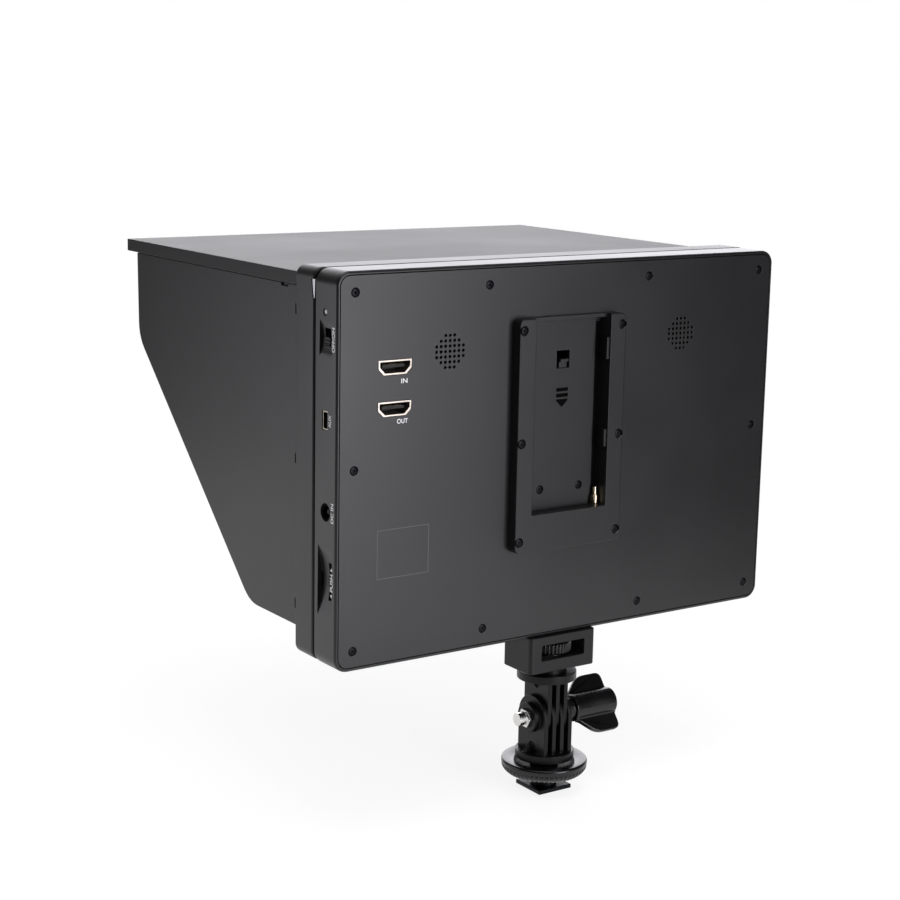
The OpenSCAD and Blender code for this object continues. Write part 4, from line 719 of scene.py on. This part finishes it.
backRight, backUp = Vector((-1, 0, 0)), Vector((0, 0, 1))
sideRight, sideUp = Vector((0, 0, 1)), Vector((0, -1, 0))
sideX = housingHigh.x - shell["inkRoom"]
backWords = {
    "words_in": {"says": "IN", "tall": 2.0, "wide": 3.1, "at": (87.9, 201.6)},
    "words_out": {"says": "OUT", "tall": 2.0, "wide": 5.4, "at": (88.6, 184.4)},
}
sideWords = {
    "words_switch": {"says": "OFF/ON", "tall": 2.2, "wide": 10.2, "at": (7.5, 220.5)},
    "words_data": {"says": "AUX", "tall": 2.1, "wide": 5.2, "at": (4.9, 186.1)},
    "words_inlet": {"says": "DC IN", "tall": 2.1, "wide": 8.4, "at": (7.3, 147.2)},
    "words_dial": {"says": "PUSH", "tall": 2.1, "wide": 7.6, "at": (7.0, 117.0)},
}
for name, word in backWords.items():
    x, z = word["at"]
    printWords(name, word, (x, housingHigh.y, z), backRight, backUp)
for name, word in sideWords.items():
    y, z = word["at"]
    printWords(name, word, (sideX, y, z), sideRight, sideUp)
arrowSpec = {"long": 1.3, "tall": 1.7, "away": 5.2}


def printOutline(name, loops, middle, right, up, ink=whiteInk):
    # flat shapes, each a list of points in millimetres along right and up
    bm = bmesh.new()
    normal = right.cross(up)
    for loop in loops:
        verts = [bm.verts.new((Vector(middle) + right * x + up * y
                               + normal * letterSpec["liftMm"]) * mm) for x, y in loop]
        face = bm.faces.new(verts)
        grown = bmesh.ops.extrude_face_region(bm, geom=[face])["geom"]
        for v in (g for g in grown if isinstance(g, bmesh.types.BMVert)):
            v.co += normal * letterSpec["thickMm"] * mm
    return addPiece(name, meshFrom(bm, name, False), "monitor", ink)


arrows = []
for s in (-1, 1):
    tip = s * (arrowSpec["away"] + arrowSpec["long"])
    foot = s * arrowSpec["away"]
    arrows.append([(tip, 0), (foot, s * arrowSpec["tall"] / 2), (foot, -s * arrowSpec["tall"] / 2)])
printOutline("dial_arrows", arrows, (sideX, *sideWords["words_dial"]["at"]), sideRight, sideUp)

# near-black sheets on the floors of the slide mark's three recesses, painted shade: two bars and a pointer
slideMark = {"wide": 6.6, "bar": 1.7, "step": 2.6, "shoulder": 0.6, "point": 3.7, "deep": 0.48, "rise": 55}


def slideBars(spec):
    half = spec["wide"] / 2
    bars = []
    for upper in (0, -spec["step"]):
        lower = upper - spec["bar"]
        bars.append([(-half, lower), (half, lower), (half, upper), (-half, upper)])
    root = -2 * spec["step"]
    shoulder = root - spec["shoulder"]
    tip = root - spec["point"]
    bars.append([(-half, root), (-half, shoulder), (0, tip), (half, shoulder), (half, root)])
    return bars


channelFoot = partBox("contact_block")[1].z
markAt = (plateMidX, floorLevel - slideMark["deep"], channelFoot + slideMark["rise"])
printOutline("slide_mark_shade", slideBars(slideMark), markAt, backRight, backUp, paintedShadeBlack)

# grooves along both edges of the channel's floor, with near-black sheets on their bottoms as painted shade:
# distance from the middle, width
grooves = {"right": {"from": -20.8, "wide": 2.7}, "left": {"from": 17.6, "wide": 0.35}}
grooveTall = (2.2, 84.0)
for side, groove in grooves.items():
    x0, x1 = -groove["from"], -groove["from"] - groove["wide"]
    z0, z1 = grooveTall
    printOutline("groove_shade_" + side, [[(x0, z0), (x1, z0), (x1, z1), (x0, z1)]],
                 (plateMidX, floorLevel, channelFoot), backRight, backUp, paintedShadeBlack)

# bare printed frame low on the back
frameBox = {"wide": 26.4, "tall": 21.6, "line": 0.3, "at": (87.4, 127.2)}


def frameBars(spec):
    u, v, line = spec["wide"] / 2, spec["tall"] / 2, spec["line"]
    spans = ((-u, -v, u, line - v), (-u, v - line, u, v), (-u, line - v, line - u, v - line),
             (u - line, line - v, u, v - line))
    return [[(a, b), (c, b), (c, d), (a, d)] for a, b, c, d in spans]


printOutline("back_frame", frameBars(frameBox), (frameBox["at"][0], housingHigh.y, frameBox["at"][1]),
             backRight, backUp, greyInk)
print("lettering printed")

# studio

view = {"azimuth": 34.367, "elevation": 11.255, "roll": 1.075, "lens": 75.469,
        "place": (0.51503, 0.66982, 0.3285)}
studio = {
    "ambient": 0.45, "glossDark": 0.05, "glossBright": 0.85, "glossToward": (-0.566, -0.825, 0.25),
    "glossFrom": 0.62, "glossTo": 0.95, "floorRadius": 0.6, "floorAt": (0.12, -0.16, -0.0002),
    "paper": 0.9, "glow": 1.05, "glowShare": 0.8,
}


def buildCamera(spec):
    az, el, roll = (math.radians(spec[k]) for k in ("azimuth", "elevation", "roll"))
    back = Vector((math.sin(az) * math.cos(el), math.cos(az) * math.cos(el), math.sin(el)))
    right0 = Vector((-math.cos(az), math.sin(az), 0))
    up0 = back.cross(right0)
    right = right0 * math.cos(roll) + up0 * math.sin(roll)
    up = up0 * math.cos(roll) - right0 * math.sin(roll)
    data = bpy.data.cameras.new("camera")
    data.lens = spec["lens"]
    data.sensor_width = 36
    data.sensor_fit = "HORIZONTAL"
    data.clip_start = 0.01
    camera = bpy.data.objects.new("camera", data)
    scene.collection.objects.link(camera)
    turn = Matrix((right, up, back)).transposed().to_4x4()
    camera.matrix_world = Matrix.Translation(Vector(spec["place"])) @ turn
    scene.camera = camera


def buildWorld(spec):
    world = bpy.data.worlds.new("studio")
    scene.world = world
    world.use_nodes = True
    tree = world.node_tree
    tree.nodes.clear()
    path = addNode(tree, "ShaderNodeLightPath")
    seen = addNode(tree, "ShaderNodeMath", {"operation": "MAXIMUM"},
                   {0: path.outputs["Is Camera Ray"], 1: path.outputs["Is Transmission Ray"]})
    away = addNode(tree, "ShaderNodeTexCoord").outputs["Generated"]
    behind = addNode(tree, "ShaderNodeVectorMath", {"operation": "DOT_PRODUCT", 1: spec["glossToward"]},
                     {0: away})
    gloss = addNode(tree, "ShaderNodeMapRange", {
        "From Min": spec["glossFrom"], "From Max": spec["glossTo"], "To Min": spec["glossDark"],
        "To Max": spec["glossBright"], "interpolation_type": "SMOOTHSTEP"},
        {"Value": behind.outputs["Value"]})
    mixGloss = addNode(tree, "ShaderNodeMix", {2: spec["ambient"]},
                       {0: path.outputs["Is Glossy Ray"], 3: gloss.outputs["Result"]})
    level = addNode(tree, "ShaderNodeMix", {3: 1.0}, {0: seen.outputs["Value"], 2: mixGloss.outputs[0]})
    sky = addNode(tree, "ShaderNodeBackground", {"Color": (1, 1, 1, 1)}, {"Strength": level.outputs[0]})
    addNode(tree, "ShaderNodeOutputWorld", links={"Surface": sky.outputs["Background"]})


def buildFloor(spec):
    bm = bmesh.new()
    bmesh.ops.create_circle(bm, cap_ends=True, segments=96, radius=spec["floorRadius"])
    for v in bm.verts:
        v.co += Vector(spec["floorAt"])
    floor = bpy.data.objects.new("floor", meshFrom(bm, "floor", False))
    scene.collection.objects.link(floor)
    material = bpy.data.materials.new("white paper, floor")
    material.use_nodes = True
    tree = material.node_tree
    tree.nodes.clear()
    path = addNode(tree, "ShaderNodeLightPath")
    first = addNode(tree, "ShaderNodeMath", {"operation": "MAXIMUM"},
                    {0: path.outputs["Is Camera Ray"], 1: path.outputs["Is Glossy Ray"]})
    seen = addNode(tree, "ShaderNodeMath", {"operation": "MAXIMUM"},
                   {0: first.outputs["Value"], 1: path.outputs["Is Transmission Ray"]})
    share = addNode(tree, "ShaderNodeMath", {"operation": "MULTIPLY", 1: spec["glowShare"]},
                    {0: seen.outputs["Value"]})
    paper = addNode(tree, "ShaderNodeBsdfDiffuse", {"Color": (spec["paper"],) * 3 + (1,)})
    glow = addNode(tree, "ShaderNodeEmission", {"Color": (1, 1, 1, 1), "Strength": spec["glow"]})
    both = addNode(tree, "ShaderNodeMixShader", None,
                   {0: share.outputs["Value"], 1: paper.outputs["BSDF"], 2: glow.outputs["Emission"]})
    addNode(tree, "ShaderNodeOutputMaterial", links={"Surface": both.outputs["Shader"]})
    floor.data.materials.append(material)


lamps = {
    "key": {"place": (-0.18, 0.95, 0.22), "aim": (0.06, 0, 0.16), "size": (0.5, 0.7), "watts": 8.2},
    "low": {"place": (0.62, -0.42, 0.14), "aim": (0.12, -0.03, 0.15), "size": (0.5, 0.26), "watts": 0.78},
    "top": {"place": (0.1, 0.1, 1.3), "aim": (0, 0, 0.16), "size": (0.9, 0.9), "watts": 8},
    "far": {"place": (-0.62, -1.0, 0.5), "aim": (0, -0.05, 0.25), "size": (1.4, 0.7), "watts": 8},
}
lampTint = (0.955, 0.945, 1.0)  # daylight tubes, a little on the cool side


def buildLamps(spec):
    for name, lamp in spec.items():
        data = bpy.data.lights.new(name, "AREA")
        data.shape = "RECTANGLE"
        data.size, data.size_y = lamp["size"]
        data.energy = lamp["watts"]
        data.color = lampTint
        item = bpy.data.objects.new(name, data)
        scene.collection.objects.link(item)
        aim = Vector(lamp["aim"]) - Vector(lamp["place"])
        item.matrix_world = (Matrix.Translation(Vector(lamp["place"]))
                             @ aim.to_track_quat("-Z", "Y").to_matrix().to_4x4())


buildCamera(view)
buildWorld(studio)
buildFloor(studio)
buildLamps(lamps)
scene.view_settings.view_transform = "Standard"
print("studio built")
